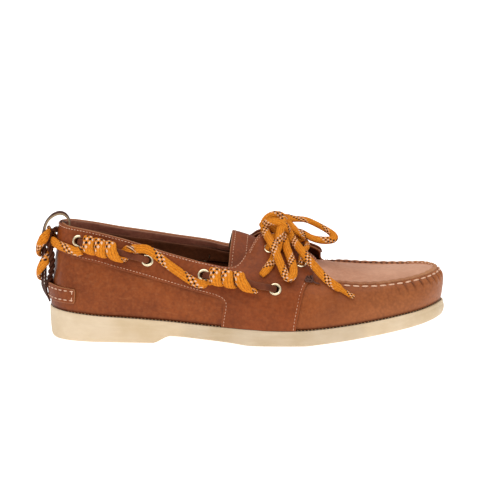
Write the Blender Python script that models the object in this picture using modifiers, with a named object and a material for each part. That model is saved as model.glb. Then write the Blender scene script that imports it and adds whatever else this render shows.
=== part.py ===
"""Lace-up boat shoe with a moccasin toe, for the right foot.

The toe points along +X and the outer (lateral) side of the foot is -Y. The shoe stands on
z = 0, with its heel block and its ball on the ground and the toe sprung clear of it.
Lengths in the tables are millimetres at the drawn size; SCALE takes them to metres at the
named sizes.
"""

import math

import bmesh
import bpy
import numpy as np
from mathutils import Matrix, Vector
from mathutils.bvhtree import BVHTree

# Named sizes of the finished shoe, in metres.
LENGTH = 0.298
BALL_WIDTH = 0.100
BACK_HEIGHT = 0.0875
# The same sizes as the tables below are drawn for.
DRAWN = (0.298, 0.100, 0.0875)
SCALE = np.array([LENGTH / DRAWN[0], BALL_WIDTH / DRAWN[1], BACK_HEIGHT / DRAWN[2]])
MM = 0.001

LEATHER = 0.0020
APRON_LEATHER = 0.0018
TONGUE_LEATHER = 0.0022
STRAP_LEATHER = 0.0014
INSOLE_THICK = 0.0034
INSOLE_GAP = 0.0007
APRON_GAP = 0.0007
GAP = 0.0003
CORD_DIAMETER = 0.0048
WRAP_RADIUS = 0.0018
LACE_RADIUS = 0.0017
BORE_RADIUS = 0.0036
BORE_DEPTH = 0.012
# From the middle of the outsole's length to the middle of the whole shoe's box.
TO_FRAME = (0.0053, 0.0015, 0.0)

# Steps of the shapes: up the wall, between two rows of the outline (upper, then sole and
# insole), round an eyelet, and the distances between the points of the cords.
WALL_STEPS = 7
ROUND_STEPS = 3
FLAT_STEPS = 2
EYELET_STEPS = 8
WRAP_STEP = 60
LACE_SPACING = 0.007
CORD_SPACING = 0.009
STRAP_SPACING = 0.004
WELD = 1e-5

# Plan outline of the outsole: x, lateral edge, medial edge, ledge left outside the upper.
OUTLINE = [
    (-149.0, 0.0, 0.0, 0.7),
    (-142.0, -20.5, 20.0, 1.0),
    (-122.5, -31.8, 31.0, 1.6),
    (-97.0, -35.6, 33.8, 2.2),
    (-71.5, -37.9, 33.2, 2.2),
    (-57.0, -39.5, 32.8, 2.2),
    (-32.0, -43.6, 34.4, 2.2),
    (-8.0, -48.0, 38.8, 2.2),
    (5.0, -50.0, 41.8, 2.2),
    (17.0, -51.2, 44.6, 2.2),
    (30.0, -51.6, 47.0, 2.2),
    (43.0, -51.2, 48.4, 2.2),
    (56.0, -50.0, 48.3, 2.2),
    (72.0, -48.4, 47.6, 2.2),
    (95.0, -44.4, 44.2, 2.2),
    (118.0, -35.4, 37.4, 2.0),
    (137.0, -20.6, 26.4, 1.8),
    (149.0, 5.0, 5.0, 1.6),
]
TOE_ROW = len(OUTLINE) - 1

# Side view of the outsole: x, height of its top (the feather line), height of its underside.
SOLE_PROFILE = [
    (-150.0, 24.0, 0.0),
    (-129.0, 21.8, 0.0),
    (-111.0, 20.4, 0.0),
    (-87.0, 19.2, 0.0),
    (-71.5, 18.2, 0.0),
    (-57.0, 17.2, 5.7),
    (-32.0, 15.2, 3.9),
    (-14.0, 14.0, 2.2),
    (5.0, 12.9, 0.0),
    (17.0, 12.3, 0.0),
    (30.0, 12.1, 0.0),
    (43.0, 12.3, 0.0),
    (56.0, 13.2, 1.2),
    (72.0, 15.0, 3.2),
    (95.0, 18.2, 6.6),
    (118.0, 21.6, 10.0),
    (136.5, 24.5, 12.8),
    (150.0, 27.2, 15.4),
]

# The outsole's side wall: share of its thickness below the feather line, inset.
SOLE_WALL = [(0.0, 0.5), (0.08, 0.0), (0.6, 0.5), (0.86, 1.2), (0.96, 2.2), (1.0, 4.2)]

# Ribs of the upper, one at each row of OUTLINE, from the feather line up:
# low x, y, z, high x, y, z, top edge x, y, z.
LATERAL_RIBS = [
    (-147.8, 0.0, 34.0, -144.4, 0.0, 62.0, -140.4, 0.0, 87.5),
    (-140.8, -21.3, 36.0, -138.2, -19.4, 62.0, -135.0, -16.5, 87.0),
    (-121.5, -31.6, 37.0, -119.8, -29.6, 61.0, -118.0, -25.8, 85.0),
    (-96.0, -35.3, 36.0, -95.5, -33.2, 58.0, -95.0, -28.8, 79.8),
    (-71.5, -37.4, 34.5, -71.5, -35.4, 55.0, -71.0, -31.0, 72.8),
    (-57.0, -38.6, 33.0, -57.0, -36.8, 52.0, -57.0, -32.4, 68.6),
    (-32.0, -42.6, 30.5, -32.0, -40.6, 48.0, -32.0, -35.4, 62.4),
    (-8.0, -46.8, 29.5, -8.5, -44.2, 46.5, -9.5, -35.8, 59.0),
    (4.5, -48.4, 29.0, 4.0, -42.8, 51.0, 2.5, -24.0, 69.0),
    (16.5, -49.6, 28.5, 15.5, -41.2, 54.5, 13.0, -12.0, 80.0),
    (30.5, -49.8, 27.5, 31.5, -40.2, 52.0, 33.5, -12.3, 71.5),
    (44.0, -49.2, 27.0, 46.0, -41.2, 47.0, 50.5, -14.5, 62.0),
    (57.0, -48.2, 27.0, 58.0, -44.6, 41.5, 58.5, -37.6, 50.6),
    (73.0, -46.8, 27.3, 73.5, -44.2, 38.5, 73.5, -38.0, 46.9),
    (96.0, -43.2, 28.5, 96.5, -41.2, 38.4, 96.0, -36.0, 45.9),
    (119.2, -34.8, 31.0, 119.6, -33.2, 40.2, 118.0, -28.8, 47.2),
    (138.2, -20.8, 34.0, 138.4, -20.0, 43.2, 135.6, -17.2, 49.6),
    (148.6, 5.0, 36.5, 148.2, 5.0, 45.5, 144.6, 5.0, 51.3),
]
MEDIAL_RIBS = [
    LATERAL_RIBS[0],
    (-140.8, 20.8, 36.0, -138.2, 19.0, 62.0, -135.0, 16.5, 86.5),
    (-121.5, 31.0, 37.0, -119.8, 29.2, 61.0, -118.0, 25.8, 83.0),
    (-96.0, 34.0, 36.0, -95.5, 32.8, 58.0, -95.0, 28.6, 78.4),
    (-71.5, 34.6, 35.0, -71.5, 34.2, 56.0, -71.0, 30.4, 74.6),
    (-57.0, 34.8, 34.0, -57.0, 34.8, 54.0, -57.0, 31.4, 72.2),
    (-32.0, 37.0, 32.0, -32.0, 37.0, 51.0, -32.0, 33.4, 68.2),
    (-8.0, 40.6, 31.0, -8.5, 39.6, 48.5, -9.5, 33.8, 63.8),
    (4.5, 42.6, 30.5, 4.0, 40.0, 53.0, 2.5, 24.0, 71.4),
    (16.5, 44.6, 29.5, 15.5, 39.0, 56.0, 13.0, 12.0, 77.8),
    (30.5, 46.6, 28.5, 31.5, 38.4, 53.5, 33.5, 12.0, 71.5),
    (44.0, 47.4, 28.0, 46.0, 39.4, 49.0, 55.0, 14.0, 64.0),
    (57.0, 47.0, 28.0, 58.0, 42.6, 43.5, 58.5, 34.0, 52.2),
    (73.0, 46.4, 28.3, 73.5, 43.0, 41.5, 73.5, 36.4, 50.0),
    (96.0, 43.4, 29.5, 96.5, 40.8, 41.5, 96.0, 35.2, 49.0),
    (119.2, 36.8, 32.0, 119.6, 35.2, 42.5, 118.0, 30.6, 49.6),
    (138.2, 26.4, 35.0, 138.4, 25.6, 45.0, 135.6, 22.6, 51.2),
    LATERAL_RIBS[TOE_ROW],
]

# The apron (toe plug): the row of OUTLINE where its seam with the vamp starts, the ends of
# the part that lies under the eyestays, and the height of its crest along x.
SEAM_ROW = 12
APRON_TAIL = [(46.0, -27.0, 49.4, 26.0, 50.4), (52.0, -31.0, 49.2, 29.0, 50.8)]
APRON_CREST = [(40.0, 60.6), (46.0, 58.6), (58.0, 55.4), (73.0, 52.6), (96.0, 50.8), (150.0, 52.0)]
APRON_RIDGE = 0.0014
RIDGE_WIDTH = 0.0035
APRON_ACROSS = [0.0, 0.035, 0.09, 0.2, 0.35, 0.5, 0.65, 0.8, 0.91, 0.965, 1.0]

# The tongue: x, crest height, half width, fall of its edges below the crest.
TONGUE_STEPS = 8
TONGUE_ROWS = [
    (53.0, 53.9, 20.0, 4.6),
    (46.5, 55.8, 22.0, 7.2),
    (41.0, 58.4, 24.0, 8.2),
    (34.0, 62.4, 26.0, 9.4),
    (20.0, 68.8, 28.0, 11.8),
    (8.0, 74.4, 28.8, 14.6),
    (-3.0, 78.2, 29.0, 16.8),
    (-10.5, 80.4, 29.0, 17.6),
]


# Centres of the eyelets on each side, along and up, from the heel forwards: collar, collar,
# waist, instep low, throat, throat.
EYELETS = {
    -1: [(-126.0, 76.5), (-74.5, 63.5), (-32.0, 53.0), (21.5, 43.5), (17.2, 70.6), (40.5, 60.0)],
    1: [(-126.0, 71.5), (-74.5, 61.5), (-32.0, 54.5), (21.5, 45.0), (20.3, 69.6), (40.5, 61.0)],
}
# An eyelet's half section: radius, height over the leather.
EYELET_SECTION = [
    (2.75, 1.2), (3.4, 1.6), (4.5, 1.4), (4.9, 0.85), (3.2, 0.85),
    (3.2, -2.7), (4.2, -2.9), (4.0, -3.3), (2.75, -3.3),
]

# The heel strip: its ends in gaps of the wall's grid from the heel, and its lower and upper edge.
STRIP_REACH = 5
STRIP_EDGES = (29.5, 40.5)
STRIP_LIFT = 0.0004
STRIP_STEPS = 3
# Share of the wall's height that the strip is looked for in.
STRIP_SEARCH = 0.6

# The pull strap's middle line in side view, from the heel strip up, over the collar and down
# inside: x, height.
STRAP_LINE = [
    (-150.0, 26.2), (-152.0, 30.2), (-153.6, 34.5), (-154.4, 39.5), (-154.3, 50.0), (-154.2, 62.0),
    (-154.8, 75.0), (-153.0, 85.0),
    (-149.0, 91.0), (-143.5, 94.2), (-138.5, 94.0), (-134.6, 90.5), (-133.4, 85.0), (-135.6, 78.5),
    (-138.6, 70.0), (-139.7, 62.5),
]
STRAP_WIDTH = 0.011
# Share of the strap's length, share of its turn about that length.
STRAP_TURNED = [
    (0.0, 0.0), (0.07, 0.4), (0.13, 1.0), (0.34, 1.0), (0.44, 0.1), (0.55, 0.0), (0.66, 0.8), (0.78, 1.0),
    (0.9, 0.5), (1.0, 0.2),
]

# How far the side laces' centre lines stand off the leather, between their eyelets.
LACE_LIFT = 0.0067
# Heights over the leather at which a lace and a cord pass along an eyelet's axis.
LACE_PASS = (-0.0042, -0.0015, 0.0015)
CORD_PASS = (-0.0042, -0.0012, 0.0036)
# Share of the way between the eyelets, share of that lift.
LACE_RISE = [
    (0.035, 0.72), (0.1, 1.0), (0.22, 1.0), (0.36, 1.0), (0.5, 1.0), (0.64, 1.0), (0.78, 1.0), (0.9, 1.0),
    (0.965, 0.72),
]
WRAP_HIGH = 0.0056
WRAP_DEEP = 0.0044
# The cord's way round a side lace: angle round it (0 above, 90 outside), place along the shoe.
COLLAR_TURNS = [
    (-135, -120.8), (-90, -119.2), (90, -117.0), (450, -109.2), (810, -101.6), (900, -94.5), (1080, -88.0),
]
INSTEP_TURNS = [(-135, -26.6), (-90, -25.0), (90, -22.4), (450, -13.4), (810, -4.4), (900, 3.6), (945, 6.6)]
# The cord's band round the heel, x, y on the outer side, height; and along the waist, laid on the
# leather: along, height, lift.
HEEL_BAND = [
    (-146.2, 8.5, 73.6), (-142.8, 15.5, 72.4), (-137.8, 22.2, 71.5), (-132.4, 27.4, 70.4), (-127.0, 30.4, 69.4),
]
# Where the outer side's cord starts, between the pull strap and the heel.
HEEL_START = [(-146.6, 7.5, 67.8), (-148.0, 2.0, 70.8), (-147.8, -3.5, 73.0)]
WAIST_BAND = [
    (-83.5, 71.5, 3.6), (-76.0, 71.5, 3.0), (-68.5, 67.5, 2.6), (-60.0, 61.2, 2.2), (-51.0, 55.2, 2.2),
    (-42.0, 49.6, 2.2), (-34.5, 46.6, 2.2),
]
# How much higher the bands run on the inner side: heel band's ends, waist band's ends.
MEDIAL_HEEL_RISE = (-0.5, -4.5)
MEDIAL_WAIST_RISE = (-2.0, 1.5)
# Where the cord's turns round the pull strap begin and end, in half turns from the outer side,
# from the top down.
HEEL_TURNS = (-0.5, 3.12)
HEEL_POINTS = 24
# How strongly a turn falls at one place of it rather than all round, that place in half turns
# from the outer side, and how far the strap is turned about its length there, in degrees.
HEEL_FALL = 1.3
HEEL_PHASE = 0.3
STRAP_TURN = 5.0
HEEL_WRAP_DEEP = 0.0044
HEEL_WRAP_WIDE = 0.0094
# The middle of those turns: x, height.
HEEL_WRAP_LINE = [(-153.7, 80.5), (-154.2, 75.0), (-153.8, 62.0), (-153.7, 50.0), (-153.6, 43.5)]

# The cord between the two front eyelets, over the tongue: x, y, height.
CROSSING = [
    (41.6, -28.6, 66.6), (43.4, -22.0, 68.6), (45.5, -15.0, 70.0), (46.0, -8.0, 71.0), (45.0, 0.0, 71.5), (43.5, 8.0, 72.0),
    (42.3, 15.0, 73.0), (41.3, 22.5, 71.0), (40.8, 27.6, 67.6),
]
CROSSING_RADIUS = 0.0021
# The bow: a cord that leaves one throat eyelet, makes both loops and comes back to the other,
# and a cord whose two ends hang down the outer side: x, y, height.
BOW_LOOPS = [
    (22.0, 22.0, 78.5), (27.0, 14.0, 80.0), (33.0, 6.0, 76.5), (38.0, -2.0, 73.8), (40.8, -7.5, 74.3),
    (42.0, -10.5, 77.5), (38.3, -10.0, 81.5), (33.0, -8.5, 85.7), (29.5, -7.5, 90.0), (25.0, -9.0, 93.6),
    (20.0, -11.0, 94.0), (15.5, -13.5, 91.8), (13.3, -17.0, 87.6), (14.8, -22.0, 82.6), (17.0, -29.0, 79.0),
    (20.0, -36.0, 75.5), (22.4, -40.5, 70.0), (24.6, -43.5, 65.0), (26.8, -45.5, 60.0), (28.6, -47.0, 56.2),
    (29.9, -48.2, 53.6), (32.0, -48.8, 52.5), (34.2, -48.0, 53.5), (35.3, -46.2, 56.0), (35.2, -43.4, 58.8),
    (34.6, -40.0, 61.6), (32.6, -34.0, 66.8),
    (30.2, -28.5, 72.0), (28.4, -22.5, 78.5), (24.0, -18.5, 83.4), (19.0, -15.5, 86.0), (19.0, -8.5, 87.8),
    (24.0, -3.0, 89.3), (30.0, -1.0, 90.2), (34.5, -1.0, 89.6), (44.3, 1.0, 88.5), (50.4, 2.0, 86.0),
    (55.7, 2.5, 83.2), (61.8, 2.5, 79.7), (66.0, 1.0, 76.5), (66.3, -2.0, 74.2), (62.5, -4.0, 73.4),
    (55.7, -5.0, 73.8), (48.9, -5.0, 75.6), (44.5, -2.5, 77.8), (39.0, -1.0, 80.0), (33.0, -5.0, 80.0),
    (27.0, -12.0, 80.0), (21.0, -20.5, 79.0),
]
BOW_ENDS = [
    (11.2, -45.8, 54.6), (14.8, -43.6, 58.2), (19.0, -38.5, 63.2), (20.8, -36.0, 65.8), (22.0, -32.0, 69.2),
    (23.4, -30.8, 72.2), (24.2, -29.0, 77.0), (25.4, -25.0, 84.3), (27.2, -20.0, 90.0), (27.7, -16.5, 92.2),
    (28.8, -13.0, 88.7), (31.5, -14.0, 82.4), (34.5, -17.0, 77.4), (37.9, -24.0, 73.6), (42.4, -32.6, 69.6),
    (46.8, -36.0, 64.4), (51.9, -38.5, 59.1), (57.2, -42.0, 53.7), (63.3, -43.2, 48.4), (69.4, -44.0, 44.4),
    (75.4, -45.5, 40.8), (80.7, -46.5, 37.9),
]


def scaled(rows):
    """Rows of x, y, z triples in drawn millimetres, as metres at the named sizes."""
    a = np.array(rows, float)
    return a * np.tile(SCALE, a.shape[1] // 3) * MM


def natural_loop(points, steps):
    """A smooth closed curve through the points, with steps to each gap."""
    n = len(points)
    eye = np.eye(n)
    ctrl = np.linalg.solve((4 * eye + np.roll(eye, 1, 0) + np.roll(eye, -1, 0)) / 6, points)
    out = []
    for i in range(n):
        p0, p1, p2, p3 = (ctrl[(i + k) % n] for k in (-1, 0, 1, 2))
        for t in np.arange(steps) / steps:
            out.append(
                (
                    (1 - t) ** 3 * p0
                    + (3 * t**3 - 6 * t**2 + 4) * p1
                    + (-3 * t**3 + 3 * t**2 + 3 * t + 1) * p2
                    + t**3 * p3
                )
                / 6
            )
    return np.array(out)


def corner_loop(points, steps):
    """A closed curve through the points that keeps their corners tighter."""
    n, out = len(points), []
    for i in range(n):
        p0, p1, p2, p3 = (points[(i + k) % n] for k in (-1, 0, 1, 2))
        for t in np.arange(steps) / steps:
            out.append(
                0.5
                * (
                    2 * p1
                    + (p2 - p0) * t
                    + (2 * p0 - 5 * p1 + 4 * p2 - p3) * t**2
                    + (3 * p1 - p0 - 3 * p2 + p3) * t**3
                )
            )
    return np.array(out)


def open_curve(points, spacing):
    """Points about spacing apart on the smooth curve through the given ones."""
    p = np.array(points, float)
    ends = np.vstack([2 * p[0] - p[1], p, 2 * p[-1] - p[-2]])
    fine = []
    for i in range(len(p) - 1):
        p0, p1, p2, p3 = ends[i : i + 4]
        for t in np.arange(24) / 24:
            fine.append(
                0.5
                * (
                    2 * p1
                    + (p2 - p0) * t
                    + (2 * p0 - 5 * p1 + 4 * p2 - p3) * t**2
                    + (3 * p1 - p0 - 3 * p2 + p3) * t**3
                )
            )
    fine = np.array([*fine, p[-1]])
    run = np.concatenate([[0], np.cumsum(np.linalg.norm(np.diff(fine, axis=0), axis=1))])
    at = np.linspace(0, run[-1], max(2, round(run[-1] / spacing) + 1))
    return np.stack([np.interp(at, run, fine[:, k]) for k in range(3)], axis=1)


def loop_of(lateral, medial, closed=natural_loop, steps=ROUND_STEPS):
    """Lateral rows heel to toe and medial rows back to the heel, as one closed curve."""
    rows = np.array([*lateral, *medial[-2:0:-1]], float)
    return closed(rows, steps)


def eased(rows, x, column):
    """A column of a table read at x, without overshoot between its rows."""
    xs, ys = (np.array([r[k] for r in rows]) for k in (0, column))
    d = np.diff(ys) / np.diff(xs)
    m = np.zeros(len(xs))
    for i in range(1, len(xs) - 1):
        if d[i - 1] * d[i] > 0:
            m[i] = 2 * d[i - 1] * d[i] / (d[i - 1] + d[i])
    m[0], m[-1] = d[0], d[-1]
    i = np.clip(np.searchsorted(xs, x) - 1, 0, len(xs) - 2)
    h = xs[i + 1] - xs[i]
    t = np.clip((np.asarray(x) - xs[i]) / h, 0, 1)
    return (
        (2 * t**3 - 3 * t**2 + 1) * ys[i]
        + (t**3 - 2 * t**2 + t) * h * m[i]
        + (3 * t**2 - 2 * t**3) * ys[i + 1]
        + (t**3 - t**2) * h * m[i + 1]
    )


def sole_height(x, column):
    """Height in metres of the outsole's top (column 1) or underside (column 2) at x metres."""
    return eased(SOLE_PROFILE, np.asarray(x) / MM / SCALE[0], column) * SCALE[2] * MM


def plan_loop(inset, on_ledge=False, steps=ROUND_STEPS):
    """The outline drawn in by inset metres, as a closed curve of x, y, from the ledge's inner side if so told."""
    lat = np.array([(r[0], r[1], r[3]) for r in OUTLINE]) * [SCALE[0], SCALE[1], 1] * MM
    med = np.array([(r[0], r[2], r[3]) for r in OUTLINE]) * [SCALE[0], SCALE[1], 1] * MM
    p = loop_of(lat, med, steps=steps)
    xy, ledge = p[:, :2], p[:, 2:]
    along = np.roll(xy, -1, 0) - np.roll(xy, 1, 0)
    along /= np.linalg.norm(along, axis=1)[:, None]
    inward = np.stack([-along[:, 1], along[:, 0]], axis=1)
    return xy + inward * (inset + (ledge if on_ledge else 0.0))


def collection(name):
    made = bpy.data.collections.new(name)
    bpy.context.scene.collection.children.link(made)
    return made


def material(name, colour, roughness, metallic=0.0):
    m = bpy.data.materials.new(name)
    m.use_nodes = True
    shader = m.node_tree.nodes["Principled BSDF"]
    shader.inputs["Base Color"].default_value = (*colour, 1.0)
    shader.inputs["Roughness"].default_value = roughness
    shader.inputs["Metallic"].default_value = metallic
    return m


def body(name, verts, faces, look, where):
    """A mesh object from vertices and faces, welded and with its normals facing out."""
    mesh = bpy.data.meshes.new(name)
    mesh.from_pydata([tuple(map(float, v)) for v in verts], [], faces)
    bm = bmesh.new()
    bm.from_mesh(mesh)
    bmesh.ops.remove_doubles(bm, verts=bm.verts, dist=WELD)
    bmesh.ops.recalc_face_normals(bm, faces=bm.faces)
    if bm.calc_volume(signed=True) < 0:
        bmesh.ops.reverse_faces(bm, faces=bm.faces)
    bm.to_mesh(mesh)
    bm.free()
    made = bpy.data.objects.new(name, mesh)
    made.data.materials.append(look)
    where.objects.link(made)
    return made


def quads(rows, cols, closed):
    """Faces of a grid of points, whose rows run on to the first again if closed."""
    return [
        (i * cols + j, (i + 1) % rows * cols + j, (i + 1) % rows * cols + j + 1, i * cols + j + 1)
        for i in range(rows if closed else rows - 1)
        for j in range(cols - 1)
    ]


def sheet(name, grid, thickness, look, where, closed=False):
    """A sheet of even thickness behind a grid of points, by Solidify."""
    faces = quads(*grid.shape[:2], closed)
    mesh = bpy.data.meshes.new(name)
    mesh.from_pydata([tuple(map(float, v)) for v in grid.reshape(-1, 3)], [], faces)
    bm = bmesh.new()
    bm.from_mesh(mesh)
    bmesh.ops.remove_doubles(bm, verts=bm.verts, dist=WELD)
    bm.to_mesh(mesh)
    bm.free()
    made = bpy.data.objects.new(name, mesh)
    made.data.materials.append(look)
    where.objects.link(made)
    solid = made.modifiers.new("leather", "SOLIDIFY")
    solid.thickness = thickness
    solid.offset = -1.0
    solid.use_even_offset = True
    return made


def stacked(name, loops, look, where):
    """A solid between closed loops stacked from the top down, whose caps join mirrored points."""
    n = len(loops[0])
    half = n // 2
    faces = []
    for k in range(len(loops) - 1):
        for i in range(n):
            j = (i + 1) % n
            faces.append((k * n + i, (k + 1) * n + i, (k + 1) * n + j, k * n + j))
    for base, turn in ((0, 1), ((len(loops) - 1) * n, -1)):
        for i in range(half):
            quad = [base + i, base + i + 1, base + (n - i - 1) % n, base + (n - i) % n]
            quad = list(dict.fromkeys(quad))
            faces.append(tuple(quad[::turn]))
    return body(name, np.concatenate(loops), faces, look, where)


def tube(name, points, radius, look, where, resolution=2):
    """A cord of round section through the points, with closed ends."""
    curve = bpy.data.curves.new(name, "CURVE")
    curve.dimensions = "3D"
    line = curve.splines.new("POLY")
    line.points.add(len(points) - 1)
    for p, at in zip(line.points, points, strict=True):
        p.co = (*map(float, at), 1.0)
    curve.bevel_depth = radius
    curve.bevel_resolution = resolution
    curve.use_fill_caps = True
    curve.materials.append(look)
    made = bpy.data.objects.new(name, curve)
    where.objects.link(made)
    return made


def wall_grid(shares):
    """Outer face of the upper: closed around the foot, with a point at each share of its height."""
    feet = plan_loop(0.0, on_ledge=True)
    feet = np.column_stack([feet, sole_height(feet[:, 0], 1) + GAP])
    low, high, top = (
        loop_of(
            scaled([r[k : k + 3] for r in LATERAL_RIBS]),
            scaled([r[k : k + 3] for r in MEDIAL_RIBS]),
            corner_loop if k == 6 else natural_loop,
        )
        for k in (0, 3, 6)
    )
    grid = []
    for rib in zip(feet, low, high, top, strict=True):
        p = np.array(rib)
        t = np.concatenate([[0], np.cumsum(np.linalg.norm(np.diff(p, axis=0), axis=1))])
        t /= t[-1]
        line = []
        for v in shares:
            share = [
                np.prod([(v - t[m]) / (t[k] - t[m]) for m in range(4) if m != k]) for k in range(4)
            ]
            line.append(share @ p)
        grid.append(line)
    return np.array(grid)


def facing(grid):
    """Unit normals of a grid that closes along its first axis, pointing out of the foot."""
    along = np.roll(grid, -1, 0) - np.roll(grid, 1, 0)
    up = np.gradient(grid, axis=1)
    n = np.cross(along, up)
    return n / np.linalg.norm(n, axis=2)[:, :, None]


class Seat:
    """Places on the outer face of the upper, given in drawn millimetres along and up."""

    def __init__(self, grid):
        faces = quads(*grid.shape[:2], closed=True)
        self.tree = BVHTree.FromPolygons([Vector(v) for v in grid.reshape(-1, 3)], faces)

    def at(self, x, z, side, lift=0.0):
        start = Vector((x * SCALE[0] * MM, side * 0.2, z * SCALE[2] * MM))
        spot, normal, _, _ = self.tree.ray_cast(start, Vector((0, -side, 0)))
        if normal.y * side < 0:
            normal = -normal
        return spot + normal * lift, normal


def eyelet(name, seat, x, z, side, look, where):
    """One eyelet, turned about the leather's own normal."""
    spot, normal = seat.at(x, z, side)
    mesh = bpy.data.meshes.new(name)
    verts = [(r * MM, 0.0, h * MM) for r, h in EYELET_SECTION]
    mesh.from_pydata(verts, [(i, (i + 1) % len(verts)) for i in range(len(verts))], [])
    made = bpy.data.objects.new(name, mesh)
    made.data.materials.append(look)
    where.objects.link(made)
    spin = made.modifiers.new("turned", "SCREW")
    spin.steps = spin.render_steps = EYELET_STEPS
    spin.use_merge_vertices = True
    spin.merge_threshold = WELD
    made.matrix_world = Matrix.Translation(spot) @ upright(normal)
    return made


def upright(normal):
    """A turn that takes Z to the normal."""
    return normal.to_track_quat("Z", "Y").to_matrix().to_4x4()


def bores(seat, where):
    """Cutters for the eyelet holes, as one object."""
    bm = bmesh.new()
    for side, spots in EYELETS.items():
        for x, z in spots:
            spot, normal = seat.at(x, z, side)
            bmesh.ops.create_cone(
                bm,
                cap_ends=True,
                segments=EYELET_STEPS,
                radius1=BORE_RADIUS,
                radius2=BORE_RADIUS,
                depth=BORE_DEPTH,
                matrix=Matrix.Translation(spot) @ upright(normal),
            )
    mesh = bpy.data.meshes.new("eyelet_bores")
    bm.to_mesh(mesh)
    bm.free()
    made = bpy.data.objects.new("eyelet_bores", mesh)
    made.hide_render = True
    made.display_type = "WIRE"
    where.objects.link(made)
    return made


def lace_route(seat, start, end, side):
    """A side lace's centre line: out of one eyelet, along the leather, into the next."""
    a, na = seat.at(*start, side)
    b, nb = seat.at(*end, side)
    route = [a + na * lift for lift in LACE_PASS]
    for share, lift in LACE_RISE:
        at = [start[k] * (1 - share) + end[k] * share for k in (0, 1)]
        route.append(seat.at(*at, side, LACE_LIFT * lift)[0])
    return [*route, *(b + nb * lift for lift in LACE_PASS[::-1])]


def wrapped(seat, start, end, side, turns):
    """The cord about a side lace, from a table of angle round the lace and place along the shoe."""
    made = []
    first, last = turns[0][0], turns[-1][0]
    for angle in np.linspace(first, last, round((last - first) / WRAP_STEP) + 1):
        x = np.interp(angle, *np.transpose(turns))
        share = (x - start[0]) / (end[0] - start[0])
        middle, normal = seat.at(x, start[1] * (1 - share) + end[1] * share, side, LACE_LIFT)
        along = Vector((end[0] - start[0], 0.0, end[1] - start[1])).normalized()
        up = normal.cross(along)
        up = -up if up.z < 0 else up
        turn = math.radians(angle)
        made.append(middle + up * WRAP_HIGH * math.cos(turn) + normal * WRAP_DEEP * math.sin(turn))
    return made


def cord_route(seat, side):
    """The cord along one side, from the heel to the instep eyelet."""
    spots = EYELETS[side]
    heel_rise = np.linspace(*MEDIAL_HEEL_RISE, len(HEEL_BAND)) * (side > 0)
    waist_rise = np.linspace(*MEDIAL_WAIST_RISE, len(WAIST_BAND)) * (side > 0)
    band = [(x, side * y, z + rise) for (x, y, z), rise in zip(HEEL_BAND, heel_rise, strict=True)]
    route = list(scaled(band))
    route += wrapped(seat, spots[0], spots[1], side, COLLAR_TURNS)
    for (x, z, lift), rise in zip(WAIST_BAND, waist_rise, strict=True):
        route.append(seat.at(x, z + rise, side, lift * MM)[0])
    return route + wrapped(seat, spots[2], spots[3], side, INSTEP_TURNS)


def heel_wraps():
    """The cord's turns round the pull strap, from the top down."""
    rows = np.array([(x, 0.0, z) for x, z in HEEL_WRAP_LINE])
    middle = open_curve(scaled(rows), HEEL_WRAP_DEEP / 5)
    made = []
    first, last = (math.pi * turn for turn in HEEL_TURNS)
    phases = np.linspace(first, last, HEEL_POINTS + 1)
    falls = phases + HEEL_FALL * np.sin(phases - math.pi * HEEL_PHASE)
    for phase, t in zip(phases, (falls - falls[0]) / (falls[-1] - falls[0]), strict=True):
        at = middle[round(t * (len(middle) - 1))]
        out = (-HEEL_WRAP_DEEP * math.sin(phase), -HEEL_WRAP_WIDE * math.cos(phase), 0.0)
        made.append(Vector(at) + Vector(out))
    return made


def through(seat, side, number):
    """Three points on the axis of an eyelet, from inside the shoe to just outside."""
    spot, normal = seat.at(*EYELETS[side][number], side)
    return [np.array(spot + normal * lift) for lift in CORD_PASS]


def apron_grid(grid):
    """The toe plug: its tail under the eyestays, then across from seam to seam as far as the toe."""
    n, first, last = len(grid), SEAM_ROW * ROUND_STEPS, TOE_ROW * ROUND_STEPS
    top = grid[:, -1]
    along = np.roll(top, -1, 0) - np.roll(top, 1, 0)
    inward = np.stack([-along[:, 1], along[:, 0], np.zeros(n)], axis=1)
    inward /= np.linalg.norm(inward, axis=1)[:, None]
    edge = top + inward * (LEATHER + APRON_GAP)
    seam = edge[first : n - first + 1]
    tail = scaled([(x, yl, zl, x, ym, zm) for x, yl, zl, ym, zm in APRON_TAIL]).reshape(-1, 2, 3)
    ends = [*tail, *((edge[i], edge[n - i]) for i in range(first, last - 1))]
    made = []
    for a, b in ends:
        row = []
        for s in APRON_ACROSS:
            p = a * (1 - s) + b * s
            middle = (a + b) / 2
            crest = np.interp(middle[0] / MM / SCALE[0], *np.transpose(APRON_CREST)) * MM * SCALE[2]
            near = np.linalg.norm(seam - p, axis=1).min() / RIDGE_WIDTH
            ridge = APRON_RIDGE * (1 - min(near, 1.0)) ** 2
            rise = crest + APRON_RIDGE - middle[2]
            p = p + np.array([0, 0, rise * 4 * s * (1 - s) + ridge - APRON_RIDGE])
            row.append(p)
        made.append(row)
    tip = [
        edge[last - 1] * (1 - 2 * s) + edge[last] * 2 * s
        if s < 0.5
        else edge[last] * (2 - 2 * s) + edge[last + 1] * (2 * s - 1)
        for s in APRON_ACROSS
    ]
    return np.array([*made, tip])


def tongue_grid():
    """The tongue, from its end under the apron up to its top edge."""
    made = []
    for x, crest, half, fall in TONGUE_ROWS:
        across = np.linspace(-1, 1, TONGUE_STEPS + 1)
        row = np.column_stack([np.full_like(across, x), across * half, crest - fall * across**2])
        made.append(row * SCALE * MM)
    return np.array(made)[::-1]


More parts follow.
